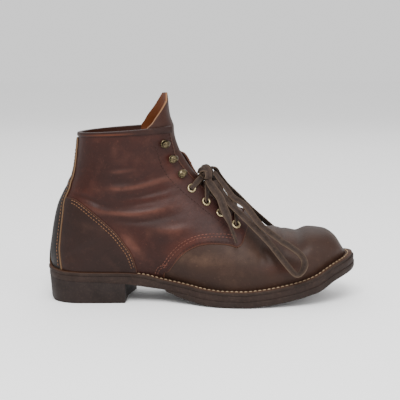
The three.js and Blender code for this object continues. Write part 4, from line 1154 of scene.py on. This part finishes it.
def make_backstay():
    rows = steps_between(13.0, 20.2, 0.06)
    halves = []
    for low, high in ((-1.0, -0.55), (0.55, 1.0)):
        sides = steps_between(low, high, 0.0085)
        halves.append(sheet(rows, sides, backstay_inside, BACKSTAY_TOP, OVERLAY_BASE))
    points, faces = join_meshes([half[:2] for half in halves])
    marks = {key: np.concatenate([half[2][key] for half in halves]) for key in halves[0][2]}
    strip = make_object("backstay_strip", points, faces, backstay_leather, marks)
    settle(strip, "backstay_leather", "backstay")


make_backstay()


# Where the binding's lower part is lightened to red as a painted highlight, and how far that reaches, in mm.
BINDING_HIGHLIGHT_X = 20.0
BINDING_HIGHLIGHT_REACH = 32.0


def make_binding():
    """A turned strip over the collar's edge, from facing to facing round the back."""
    outer = QUARTER_STEP + GAP
    # Columns: out from the last, down from the collar's edge, both in mm.
    profile = [
        (outer, 5.0), (outer + 0.6, 4.8), (outer + BINDING_THICKNESS, 4.2), (outer + BINDING_THICKNESS, 2.4),
        (outer + BINDING_THICKNESS, 1.2), (outer + 0.7, 0.1), (outer, -0.7), (0.4, -1.1), (-0.9, -1.0),
        (-1.8, -0.4), (-2.0, 0.4), (-1.75, 0.5), (-1.0, -0.25), (0.6, -0.3), (outer - 0.2, 0.2),
    ]
    start = side_behind_facing(COLLAR_ROW, -1, 0.6)
    end = side_behind_facing(COLLAR_ROW, 1, 0.6)
    lateral = np.linspace(start, -1, 160)
    medial = np.linspace(1, end, 160)[1:]
    sides = np.concatenate([lateral, medial])
    shaft_line = np.linalg.norm(surface(20.0, sides) - surface(19.0, sides), axis=-1)
    rings = [skin(COLLAR_ROW - down / shaft_line, sides, np.full(len(sides), out)) for out, down in profile]
    points, faces = tube(rings)
    # Painted highlight: the lower part of the outer face takes the binding's raw colour, fading away from
    # its middle.
    binding_highlight = np.tile([0.1, 0.3, 0.95, 0.95, 0.2] + [0.0] * (len(profile) - 5), len(sides))
    off_highlight = (points[:, 0] - BINDING_HIGHLIGHT_X) / BINDING_HIGHLIGHT_REACH
    binding_highlight = binding_highlight * (0.3 + 0.65 * np.exp(-(off_highlight**2)))
    marks = dict.fromkeys(("inner", "wear", "shine", "red"), np.zeros(len(points)))
    marks["edge"] = binding_highlight
    binding = make_object("collar_edge", points, faces, binding_leather, marks)
    settle(binding, "binding_leather", "collar_binding")


make_binding()


# Tongue, with its rough side inwards.
def tongue_inside(row, side, points):
    share = (1 + np.cos(np.pi * side)) / 2
    reach = lerp(tongue_lateral(row), tongue_medial(row), smoothstep(side, -0.07, 0.03))
    length = np.hypot(front_x_at(row) - back_x_at(row), front_z_at(row) - back_z_at(row))
    down = (share - reach) * length
    top = (LAST_ROW - 0.05 - row) * 12.0
    return np.minimum(down, top)


def make_tongue():
    rows = steps_between(7.6, LAST_ROW, 0.07)
    sides = steps_between(-0.5, 0.5, 0.009)
    top = -VAMP_WALL - GAP
    points, faces, marks = sheet(rows, sides, tongue_inside, top, top - TONGUE_THICKNESS, worn=False)
    settle(make_object("tongue_sheet", points, faces, tongue_leather, marks), "tongue_leather", "tongue")


make_tongue()


# Sole plates. A plate is lofted along the boot from a side profile of insets and levels.
def plate(levels, outline, start, end, count=150, front=None):
    """levels is a list of (inset, z of x), from the bottom up. front gives the x of the last
    ring for the lateral side, the middle and the medial side."""
    along = (1 - np.cos(np.linspace(0, np.pi, count))) / 2
    if front:
        along = 1 - np.cos(np.linspace(0, np.pi / 2, count))
    columns = []
    for side in ("lateral", "medial"):
        ways = levels if side == "lateral" else levels[::-1]
        stop = end if not front else front[0] if side == "lateral" else front[2]
        for inset, z_of in ways:
            first = start + inset
            last = stop if front else stop - inset
            x = first + (last - first) * along
            lateral, medial, _ = outline(x, inset)
            y = lateral if side == "lateral" else medial
            columns.append(np.stack([x, y, z_of(x)], axis=-1))
        middle = front[1] if front else end - levels[0][0]
        edge_level = levels[-1] if side == "lateral" else levels[0]
        x = start + edge_level[0] + (middle - start - edge_level[0]) * along
        lateral, medial, _ = outline(x, edge_level[0])
        columns.append(np.stack([x, (lateral + medial) / 2, edge_level[1](x)], axis=-1))
    return tube(columns)


def edge_levels(low, high, under, over, lean=0.0):
    """A side profile from a bottom to a top curve. under and over round its two corners."""
    shares = [(1.0, 0.0), (0.3, 0.3), (0.0, 1.0)]
    levels = []
    for inset, up in shares:
        levels.append((inset * under + lean, lambda x, up=up: low(x) + up * under))
    for inset, up in reversed(shares):
        levels.append((inset * over, lambda x, up=up: high(x) - up * over))
    return levels


# The layers are pressed together, so only a fine line shows between them.
SEAM = 0.05
MIDSOLE_TOP = WELT_THICKNESS + SEAM
EDGE_STEP = 0.7
WELT_TIP_STEP = 2.2
OUTSOLE_START = BREAST_X + 39.5


def midsole_bottom(x):
    return WELT_THICKNESS + GAP + MIDSOLE_THICKNESS + shank_at(along_of(x))


def forepart_top(x):
    return midsole_bottom(x) + SEAM


def outsole_bottom(x):
    return depth_z(x, midsole_bottom(x) + GAP + forepart_at(along_of(x)))


def heel_low(x):
    return np.maximum(0.0, (-HEEL_FLAT_LENGTH / 2 - x) / HEEL_BEVEL_LENGTH * HEEL_BEVEL_HEIGHT)


def plain_outline(extra, toe=0.0, heel=0.0):
    return lambda x, inset: outline_at(x, extra + inset, toe + inset, heel + inset)


def make_sole():
    midsole = plate(
        edge_levels(lambda x: depth_z(x, midsole_bottom(x)), lambda x: depth_z(x, MIDSOLE_TOP), 0.35, 0.35),
        plain_outline(EDGE_STEP, EDGE_STEP, EDGE_STEP), HEEL_BACK + EDGE_STEP, TOE_TIP - EDGE_STEP)
    settle(make_object("midsole_plate", *midsole, sole_edge), "midsole_leather", "midsole")
    heel = plate(
        edge_levels(heel_low, lambda x: depth_z(x, forepart_top(x)), 1.0, 0.3, HEEL_TAPER),
        plain_outline(EDGE_STEP, 0.0, EDGE_STEP * 1.5), HEEL_BACK + EDGE_STEP * 1.5, BREAST_X, 70,
        (BREAST_X, BREAST_X, BREAST_X + BREAST_REACH))
    settle(make_object("heel_stack", *heel, heel_finish), "heel_rubber", "heel_block")


make_sole()


def welt_loop(count=420):
    """Even points round the welt's outer edge, with the direction out from each."""
    turn = np.linspace(0, np.pi, 900)
    x = HEEL_BACK + (TOE_TIP - WELT_TIP_STEP - HEEL_BACK) * (1 - np.cos(turn)) / 2
    lateral, medial, _ = outline_at(x, 0.0, WELT_TIP_STEP, 0.0)
    loop = np.concatenate([np.stack([x, lateral], 1), np.stack([x, medial], 1)[::-1][1:]])
    lengths = lengths_along(loop)
    at = np.linspace(0, lengths[-1], count, endpoint=False)
    even = at_lengths(at, lengths, loop)
    ahead = unit(np.roll(even, -1, 0) - np.roll(even, 1, 0))
    out = np.stack([-ahead[:, 1], ahead[:, 0]], 1)
    centre = even.mean(0)
    flip = np.sign(np.sum(out * (even - centre), axis=1))
    return even, out * np.median(flip)


def loop_point(even, out, inward, down):
    place = even - out * np.asarray(inward)[..., None]
    return np.concatenate([place, depth_z(place[:, 0], down)[:, None]], 1)


def welt_reach(even):
    """How far in from the edge the upper starts, at each point of the loop."""
    toe = smoothstep(even[:, 0], TOE_TIP - 70, TOE_TIP - 12)
    heel = 1 - smoothstep(even[:, 0], HEEL_BACK + 8, HEEL_BACK + 30)
    side = side_overhang(even[:, 0])
    return side + (TOE_OVERHANG - WELT_TIP_STEP - side) * toe + (HEEL_OVERHANG - side) * heel


# The welt's outer edge from the bottom up. Columns: in from the edge and down from its top, in mm.
WELT_PROFILE = [(0.3, 3.2), (0.0, 2.9), (0.0, 2.0), (0.0, 1.0), (0.3, 0.35), (1.0, 0.0)]
# Its top with the groove for the stitches. Columns: share of the way in, down in mm.
WELT_GROOVE = [(0.45, 0.0), (0.52, 0.45), (0.62, 0.45), (0.7, 0.0), (1.0, 0.0), (1.0, 3.2)]
# How much paler each point of both is.
WELT_RIM = [0.0, 0.0, 0.0, 0.0, 0.5, 1.0, 1.0, 1.0, 1.0, 1.0, 0.6, 0.0]


def make_welt():
    even, out = welt_loop()
    reach = welt_reach(even)
    rings = [loop_point(even, out, np.full(len(even), inward), down) for inward, down in WELT_PROFILE]
    for share, down in WELT_GROOVE:
        rings.append(loop_point(even, out, np.maximum(reach * share, 1.0 + share), down))
    rim = np.tile(WELT_RIM, len(even))
    settle(make_object("welt_ring", *hoop(rings), welt_finish, {"rim": rim}), "welt_leather", "welt")


make_welt()


# Columns: share of the stitch's length, of its half width and of its height.
STITCH_RINGS = [
    (0.0, 0.45, -0.3), (0.18, 0.95, 0.75), (0.5, 1.0, 1.0), (0.82, 0.95, 0.75), (1.0, 0.45, -0.3),
]


def stitch(a, b, normal, width, height):
    """One stitch: a short rounded bar that dips at both ends."""
    ahead = b - a
    across = unit(np.cross(ahead, normal)) * width / 2
    up = normal * height
    rings = []
    for t, wide, high in STITCH_RINGS:
        centre = a + ahead * t
        out, side, rise = across * wide, across * wide * 0.7, up * high * 0.8
        rings.append([
            centre - out - up * 0.4, centre - side + rise, centre + up * high, centre + side + rise,
            centre + out - up * 0.4,
        ])
    return np.array(rings).reshape(-1, 3), capped(len(rings), len(rings[0]))


def stitch_row(line, normals, length=2.6, gap=1.0, width=0.8, height=0.45):
    """Stitches along a line on a surface."""
    lengths = lengths_along(line)
    starts = np.arange(gap, lengths[-1] - length, length + gap)
    first = at_lengths(starts, lengths, line)
    last = at_lengths(starts + length, lengths, line)
    ups = unit(at_lengths(starts + length / 2, lengths, normals))
    return [stitch(a, b, up, width, height) for a, b, up in zip(first, last, ups)]


def on_surface(flat_line, sign, offset, view=side_view, low_side=0.03):
    """A line seen from the side or from behind, laid on one side: its points and normals."""
    rows = steps_between(7.8, 20.0, 0.05)
    sides = steps_between(low_side, 0.995, 0.008) * sign
    row_grid, side_grid = np.meshgrid(rows, sides, indexing="ij")
    points = surface(row_grid, side_grid)
    flat = view(points).reshape(-1, 2)
    nearest = [int(np.argmin(np.sum((flat - target) ** 2, axis=1))) for target in flat_line]
    guess = np.stack([row_grid.flat[nearest], side_grid.flat[nearest]], axis=1)
    row_step, side_step = 0.01, 0.001
    for _ in range(6):
        base = surface(guess[:, 0], guess[:, 1])
        miss = flat_line - view(base)
        by_row = (view(surface(guess[:, 0] + row_step, guess[:, 1])) - view(base)) / row_step
        by_side = (view(surface(guess[:, 0], guess[:, 1] + side_step)) - view(base)) / side_step
        jacobian = np.stack([by_row, by_side], axis=-1)
        good = np.abs(np.linalg.det(jacobian)) > 1.0
        step = np.zeros_like(guess)
        step[good] = np.linalg.solve(jacobian[good], miss[good][..., None])[..., 0]
        guess = guess + np.clip(step, -0.1, 0.1)
    base = surface(guess[:, 0], guess[:, 1])
    normals = surface_normal(guess[:, 0], guess[:, 1])
    return base + normals * (offset + relief(base))[:, None], normals


def offset_line(line, distance):
    """A line moved sideways in its own plane."""
    ahead = unit(np.gradient(line, axis=0))
    return line + np.stack([-ahead[:, 1], ahead[:, 0]], 1) * distance


def even_flat(line, step=1.5):
    lengths = lengths_along(line)
    return at_lengths(np.arange(0, lengths[-1], step), lengths, line)


# Columns: distance in from the vamp seam's edge in mm, thread.
VAMP_ROWS = [(2.2, dark_thread), (6.4, red_thread), (9.0, red_thread)]
# Distances in from the counter's edge in mm.
COUNTER_ROWS = [1.8, 4.6]
# Columns: name, distance behind the facing's edge in mm, first and last row.
FACING_STITCHES = [("facing_stitches", 2.6, 9.2, 19.6), ("stay_stitches", 21.0, 9.2, 18.6)]
THREAD_LIFT = 0.05


def sew(name, parts, thread, slot):
    settle(make_object(name, *join_meshes(parts), thread), slot)


def above_sole(line):
    """The part of a side-view line that is clear of the welt."""
    return line[line[:, 1] > top_z(line[:, 0]) + 3]


def make_stitches():
    seam = above_sole(vamp_edge)
    corner = int(np.argmin(np.abs(seam[:, 0] - x_of(VAMP_SEAM[tab_corner][0]))))
    for index, (distance, thread) in enumerate(VAMP_ROWS):
        parts = []
        for _, sign in SIDES:
            line = even_flat(offset_line(seam[: corner - 1], distance))
            parts += stitch_row(*on_surface(line, sign, QUARTER_STEP + THREAD_LIFT))
        sew(f"vamp_stitches_{index + 1}", parts, thread, "upper_leather")
    parts = []
    for distance in COUNTER_ROWS:
        for _, sign in SIDES:
            line = even_flat(offset_line(above_sole(counter_edge)[3:], -distance))
            parts += stitch_row(*on_surface(line, sign, COUNTER_TOP), length=2.2)
    sew("counter_stitches", parts, tan_thread, "counter_leather")
    parts = []
    heights = np.arange(HEEL_SEAT + 4, HEEL_SEAT + 0.9 * SHAFT_HEIGHT, 1.5)
    for _, sign in SIDES:
        line = np.stack([sign * (backstay_half_at(heights) - 2.2), heights], axis=1)
        parts += stitch_row(*on_surface(line, sign, BACKSTAY_TOP + 0.03, rear_view, 0.6), length=2.4)
    sew("backstay_stitches", parts, tan_thread, "backstay_leather")
    for name, distance, first, last in FACING_STITCHES:
        parts = []
        for _, sign in SIDES:
            rows = np.arange(first, last, 0.06)
            sides = np.array([side_behind_facing(row, sign, distance) for row in rows])
            base = surface(rows, sides)
            normals = surface_normal(rows, sides)
            lift = QUARTER_STEP + THREAD_LIFT + push_at(rows, sides, base)
            parts += stitch_row(base + normals * lift[:, None], normals)
        sew(name, parts, dark_thread, "upper_leather")


# The welt's stitches: how far in, as a share, and how far forward along the sole they start.
WELT_STITCH_IN = 0.57
WELT_STITCH_START = 0.245


def make_welt_stitches():
    even, out = welt_loop(900)
    reach = welt_reach(even)
    line = loop_point(even, out, reach * WELT_STITCH_IN, -0.15)
    keep = line[:, 0] > x_of(WELT_STITCH_START)
    start = int(np.argmax(~keep & np.roll(keep, -1))) + 1
    order = np.roll(np.arange(len(line)), -start)
    order = order[keep[order]]
    ups = np.tile(np.array([0.0, 0.0, 1.0]), (len(order), 1))
    parts = stitch_row(line[order], ups, length=3.0, gap=1.5, width=1.0, height=0.6)
    sew("welt_stitches", parts, welt_thread, "welt_leather")


make_stitches()
make_welt_stitches()


# Hardware.
def turned(profile, segments=28):
    """A closed profile of (radius, height) turned round the outward axis."""
    angles = np.linspace(0, 2 * np.pi, segments, endpoint=False)
    return hoop([np.array([(r * math.cos(a), r * math.sin(a), h) for a in angles]) for r, h in profile])


def set_on(part, row, side, offset, spin=0.0):
    points, faces = part
    origin, across, along, normal = seat(row, side, offset)
    c, s = math.cos(spin), math.sin(spin)
    turned_across = across * c + along * s
    turned_along = along * c - across * s
    placed = origin + points[:, :1] * turned_across + points[:, 1:2] * turned_along + points[:, 2:] * normal
    return placed, faces


def make_eyelets():
    r = EYELET_HOLE / 2
    flange = EYELET_FLANGE / 2
    profile = [
        (r, -2.9), (r + 0.5, -2.9), (r + 0.5, 0.2), (flange - 0.2, 0.25), (flange, 0.6),
        (flange - 0.35, 1.05),
        (flange - 0.95, 1.3), (r + 0.6, 1.25), (r + 0.1, 0.9), (r, 0.3),
    ]
    for name, number, row, side in eyelet_places:
        part = set_on(turned(profile), row, side, QUARTER_STEP)
        ring = make_object(f"eyelet_ring_{name}_{number}", *part, eyelet_metal)
        settle(ring, "eyelet_metal", f"eyelet_{name}_{number}")


# A hook's middle line from its neck to its lip. Columns: back, across, up and width, in mm.
HOOK_PATH = [
    (3.0, 0, 0.7, 4.2), (3.7, 0, 1.6, 4.0), (3.7, 0, 2.6, 3.9), (3.0, 0, 3.5, 4.6), (1.6, 0, 4.1, 6.0),
    (-0.4, 0, 4.25, 6.6), (-2.4, 0, 3.9, 5.8), (-3.7, 0, 3.1, 3.4),
]
HOOK_SHEET = 0.75
HOOK_DOME = 0.9


def hook_part():
    """A speed hook: a round foot, a short neck and a domed cap bent over towards the back."""
    radius = HOOK_BASE / 2
    foot = turned([(0.2, 0.0), (radius, 0.0), (radius, 0.45), (radius - 0.4, 0.85), (0.2, 0.95)], 24)
    path = np.array(HOOK_PATH)
    line = smooth_line(path[:, :3], 4)
    width = np.interp(np.linspace(0, 1, len(line)), np.linspace(0, 1, len(path)), path[:, 3])
    rows, count = len(line), 9
    ahead = unit(np.gradient(line, axis=0))
    sideways = np.array([0, 1.0, 0])
    face = unit(np.cross(ahead, sideways))
    outward = face * np.sign(face[len(face) // 2, 2])
    across = np.linspace(-1, 1, count)
    spans = line[:, None, :] + sideways * (across[None, :, None] * width[:, None, None] / 2)
    dome = (1 - across**2)[None, :, None] * HOOK_DOME
    shells = [spans + outward[:, None, :] * (dome + lift) for lift in (0.0, HOOK_SHEET)]
    points = np.concatenate([shell.reshape(-1, 3) for shell in shells])
    start = rows * count
    top = grid_faces(rows, count)
    faces = top + [tuple(k + start for k in reversed(f)) for f in top]
    rim = [i * count for i in range(rows)] + [(rows - 1) * count + j for j in range(1, count)]
    rim += [i * count + count - 1 for i in reversed(range(rows - 1))] + list(reversed(range(1, count - 1)))
    for a, b in zip(rim, rim[1:] + rim[:1]):
        faces.append((b, a, a + start, b + start))
    return join_meshes([foot, (points, faces)])


def make_hooks():
    part = hook_part()
    for name, number, row, side in hook_places:
        spin = HOOK_TURN if name == "lateral" else math.pi - HOOK_TURN
        placed = set_on(part, row, side, QUARTER_STEP + 0.25, spin)
        cap = make_object(f"hook_cap_{name}_{number}", *placed, hook_metal)
        settle(cap, "hook_metal", f"hook_{name}_{number}")


make_eyelets()
make_hooks()


# Lacing: each strand comes out of its eyelet, crosses the tongue and goes under the far facing.
STRAND_WIDTH = 5.2
# A strand's height. Columns: share of the way across, height above the last in mm.
STRAND_WAY = [
    (0.0, -2.0), (0.0, 0.6), (0.02, 2.0), (0.09, 2.9), (0.20, 2.9), (0.36, 2.6), (0.56, 1.5), (0.80, -0.4),
    (0.93, -1.3), (1.0, -1.4),
]


def strand(eyelet, up_row):
    _, _, row, side = eyelet
    sign = 1 if side < 0 else -1
    inner_side = side_behind_facing(up_row, sign, 3.0)
    edge_side = side_behind_facing(up_row, sign, 0.3)
    shares, heights = np.array(STRAND_WAY).T
    sides = lerp(side, np.where(shares > 0.9, inner_side, edge_side), shares)
    smooth, _ = even_line(skin(lerp(row, up_row, shares), sides, heights), 1.2)
    ways = surface_normal(lerp(row, up_row, 0.5), lerp(side, inner_side, 0.5))
    share = np.linspace(0, 1, len(smooth))
    taper = np.interp(share, [0, 0.1, 0.22, 1.0], [3.6, 4.0, STRAND_WIDTH, STRAND_WIDTH])
    return ribbon(smooth, ways, taper, LACE_THICKNESS)


def make_lacing():
    count = len(EYELET_ROWS)
    for i in range(1, count):
        row = lerp(EYELET_ROWS[i], EYELET_ROWS[i - 1], 0.75)
        both = join_meshes([strand(eyelet_places[i], row), strand(eyelet_places[count + i], row)])
        settle(lace_object(f"lacing_{i}", both), "lace", f"lace_crossing_{i}")
    row = EYELET_ROWS[-1] + 0.12
    share = np.linspace(0, 1, 14)
    sides = lerp(side_behind_facing(row, -1, 2.0), side_behind_facing(row, 1, 2.0), share)
    heights = np.interp(share, [0, 0.2, 0.5, 0.8, 1], [-1.2, -0.9, -0.6, -0.9, -1.2])
    line, _ = even_line(skin(np.full(len(share), row), sides, heights), 1.5)
    part = ribbon(line, surface_normal(row, 0.0), STRAND_WIDTH, LACE_THICKNESS)
    settle(lace_object("lacing_bar", part), "lace", "lace_bottom_bar")


make_lacing()


# The strand that comes over the knot and hangs down as the near end.
KNOT_WRAP = [
    (108.5, -3.5, 126.5), (109.6, -5.5, 130.6), (112.8, -8.8, 132.8), (116, -12.6, 130.4),
    (117.4, -14.8, 125.5), (116.8, -14.9, 121.0),
]
KNOT_ROW = 10.95
KNOT_SIDE = -0.09
# Its turns. Columns: shift along and across, radius along and radius thick in mm, tilt in
# radians, width in mm.
KNOT_TURNS = [
    (0.5, -3.2, 6.6, 4.4, 0.35, 5.6), (-0.6, 2.6, 5.8, 4.0, -0.5, 5.2), (0.0, 0.0, 4.6, 3.4, 1.35, 6.4),
]


def make_knot():
    """The knot's wraps: one over the front, one across, and the runs up from the top eyelets."""
    low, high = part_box("lace_knot")
    centre = np.array((low + high) / 2) / MM
    normal = surface_normal(KNOT_ROW, KNOT_SIDE)
    along = unit(np.cross(np.array([0, 1.0, 0]), normal))
    across = unit(np.cross(along, normal))
    turns = []
    angles = np.linspace(0, 2 * np.pi, 40)[:, None]
    for shift_along, shift_across, long, thick, tilt, width in KNOT_TURNS:
        middle = centre + along * shift_along + across * shift_across
        forward = along * math.cos(tilt) + across * math.sin(tilt)
        away = forward * (long * np.cos(angles)) + normal * (thick * np.sin(angles))
        turns.append(ribbon(middle + away, unit(away), width, LACE_THICKNESS))
    line, _ = even_line(KNOT_WRAP, 1.0)
    turns.append(ribbon(line, unit(line - centre), 7.4, LACE_THICKNESS))
    top_pair = [(row, side) for _, number, row, side in eyelet_places if number == 1]
    for row, side in top_pair:
        sign = np.sign(side)
        mouth = skin(np.full(3, float(row)), np.full(3, side), np.array([-2.0, 1.0, 2.8]))
        target = centre + across * sign * 4.5 - normal * 2.0
        middle = lerp(mouth[-1], target, 0.5) + normal * 1.2
        line, _ = even_line(np.concatenate([mouth, [middle], [target]]), 1.0)
        share = np.linspace(0, 1, len(line))
        width = np.interp(share, [0, 0.2, 0.4, 1], [3.6, 4.2, 5.6, 5.6])
        turns.append(ribbon(line, normal, width, LACE_THICKNESS))
    settle(lace_object("bow_knot", join_meshes(turns)), "lace", "lace_knot")


make_knot()


def make_outsole():
    levels = edge_levels(outsole_bottom, lambda x: depth_z(x, forepart_top(x)), 2.6, 0.35)
    part = plate(levels, plain_outline(EDGE_STEP / 2), OUTSOLE_START, TOE_TIP)
    settle(make_object("outsole_plate", *part, outsole_finish), "outsole_rubber", "outsole")


make_outsole()

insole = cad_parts["insole"]
insole.data.materials.clear()
insole.data.materials.append(insole_leather)


# Floor, lights and background.
FLOOR_REACH = 6.0
FLOOR_DARK = (250.46, 250.46, 250.46)
FLOOR_LIGHT = (252.75, 252.75, 252.75)
AIM = (0.1, 0, 0.08)
# Columns: name, place in metres, size in metres, power in watts.
LIGHTS = [
    ("key", (0.0, -1.1, 1.5), 1.0, 42),
    ("fill", (1.2, -0.9, 0.7), 1.2, 8),
    ("back", (0.2, 1.3, 1.4), 1.4, 8),
]


def make_stage():
    mesh = bpy.data.meshes.new("floor")
    corners = [(-1, -1), (1, -1), (1, 1), (-1, 1)]
    mesh.from_pydata([(x * FLOOR_REACH, y * FLOOR_REACH, 0) for x, y in corners], [], [(0, 1, 2, 3)])
    floor = bpy.data.objects.new("floor", mesh)
    pale = Nodes("floor_paper")
    tone = pale.mix(pale.noise(3.0), FLOOR_DARK, FLOOR_LIGHT)
    pale.feed("Base Color", tone)
    pale.shader.inputs["Roughness"].default_value = 0.8
    mesh.materials.append(pale.material)
    bpy.context.scene.collection.objects.link(floor)
    world = bpy.data.worlds.new("studio")
    world.use_nodes = True
    world.node_tree.nodes["Background"].inputs["Color"].default_value = (1.0, 1.0, 1.0, 1)
    world.node_tree.nodes["Background"].inputs["Strength"].default_value = 1.1
    bpy.context.scene.world = world
    for name, place, size, power in LIGHTS:
        data = bpy.data.lights.new(name, "AREA")
        data.size = size
        data.energy = power
        lamp = bpy.data.objects.new(name, data)
        lamp.location = place
        lamp.rotation_euler = (Vector(AIM) - Vector(place)).to_track_quat("-Z", "Y").to_euler()
        bpy.context.scene.collection.objects.link(lamp)


make_stage()
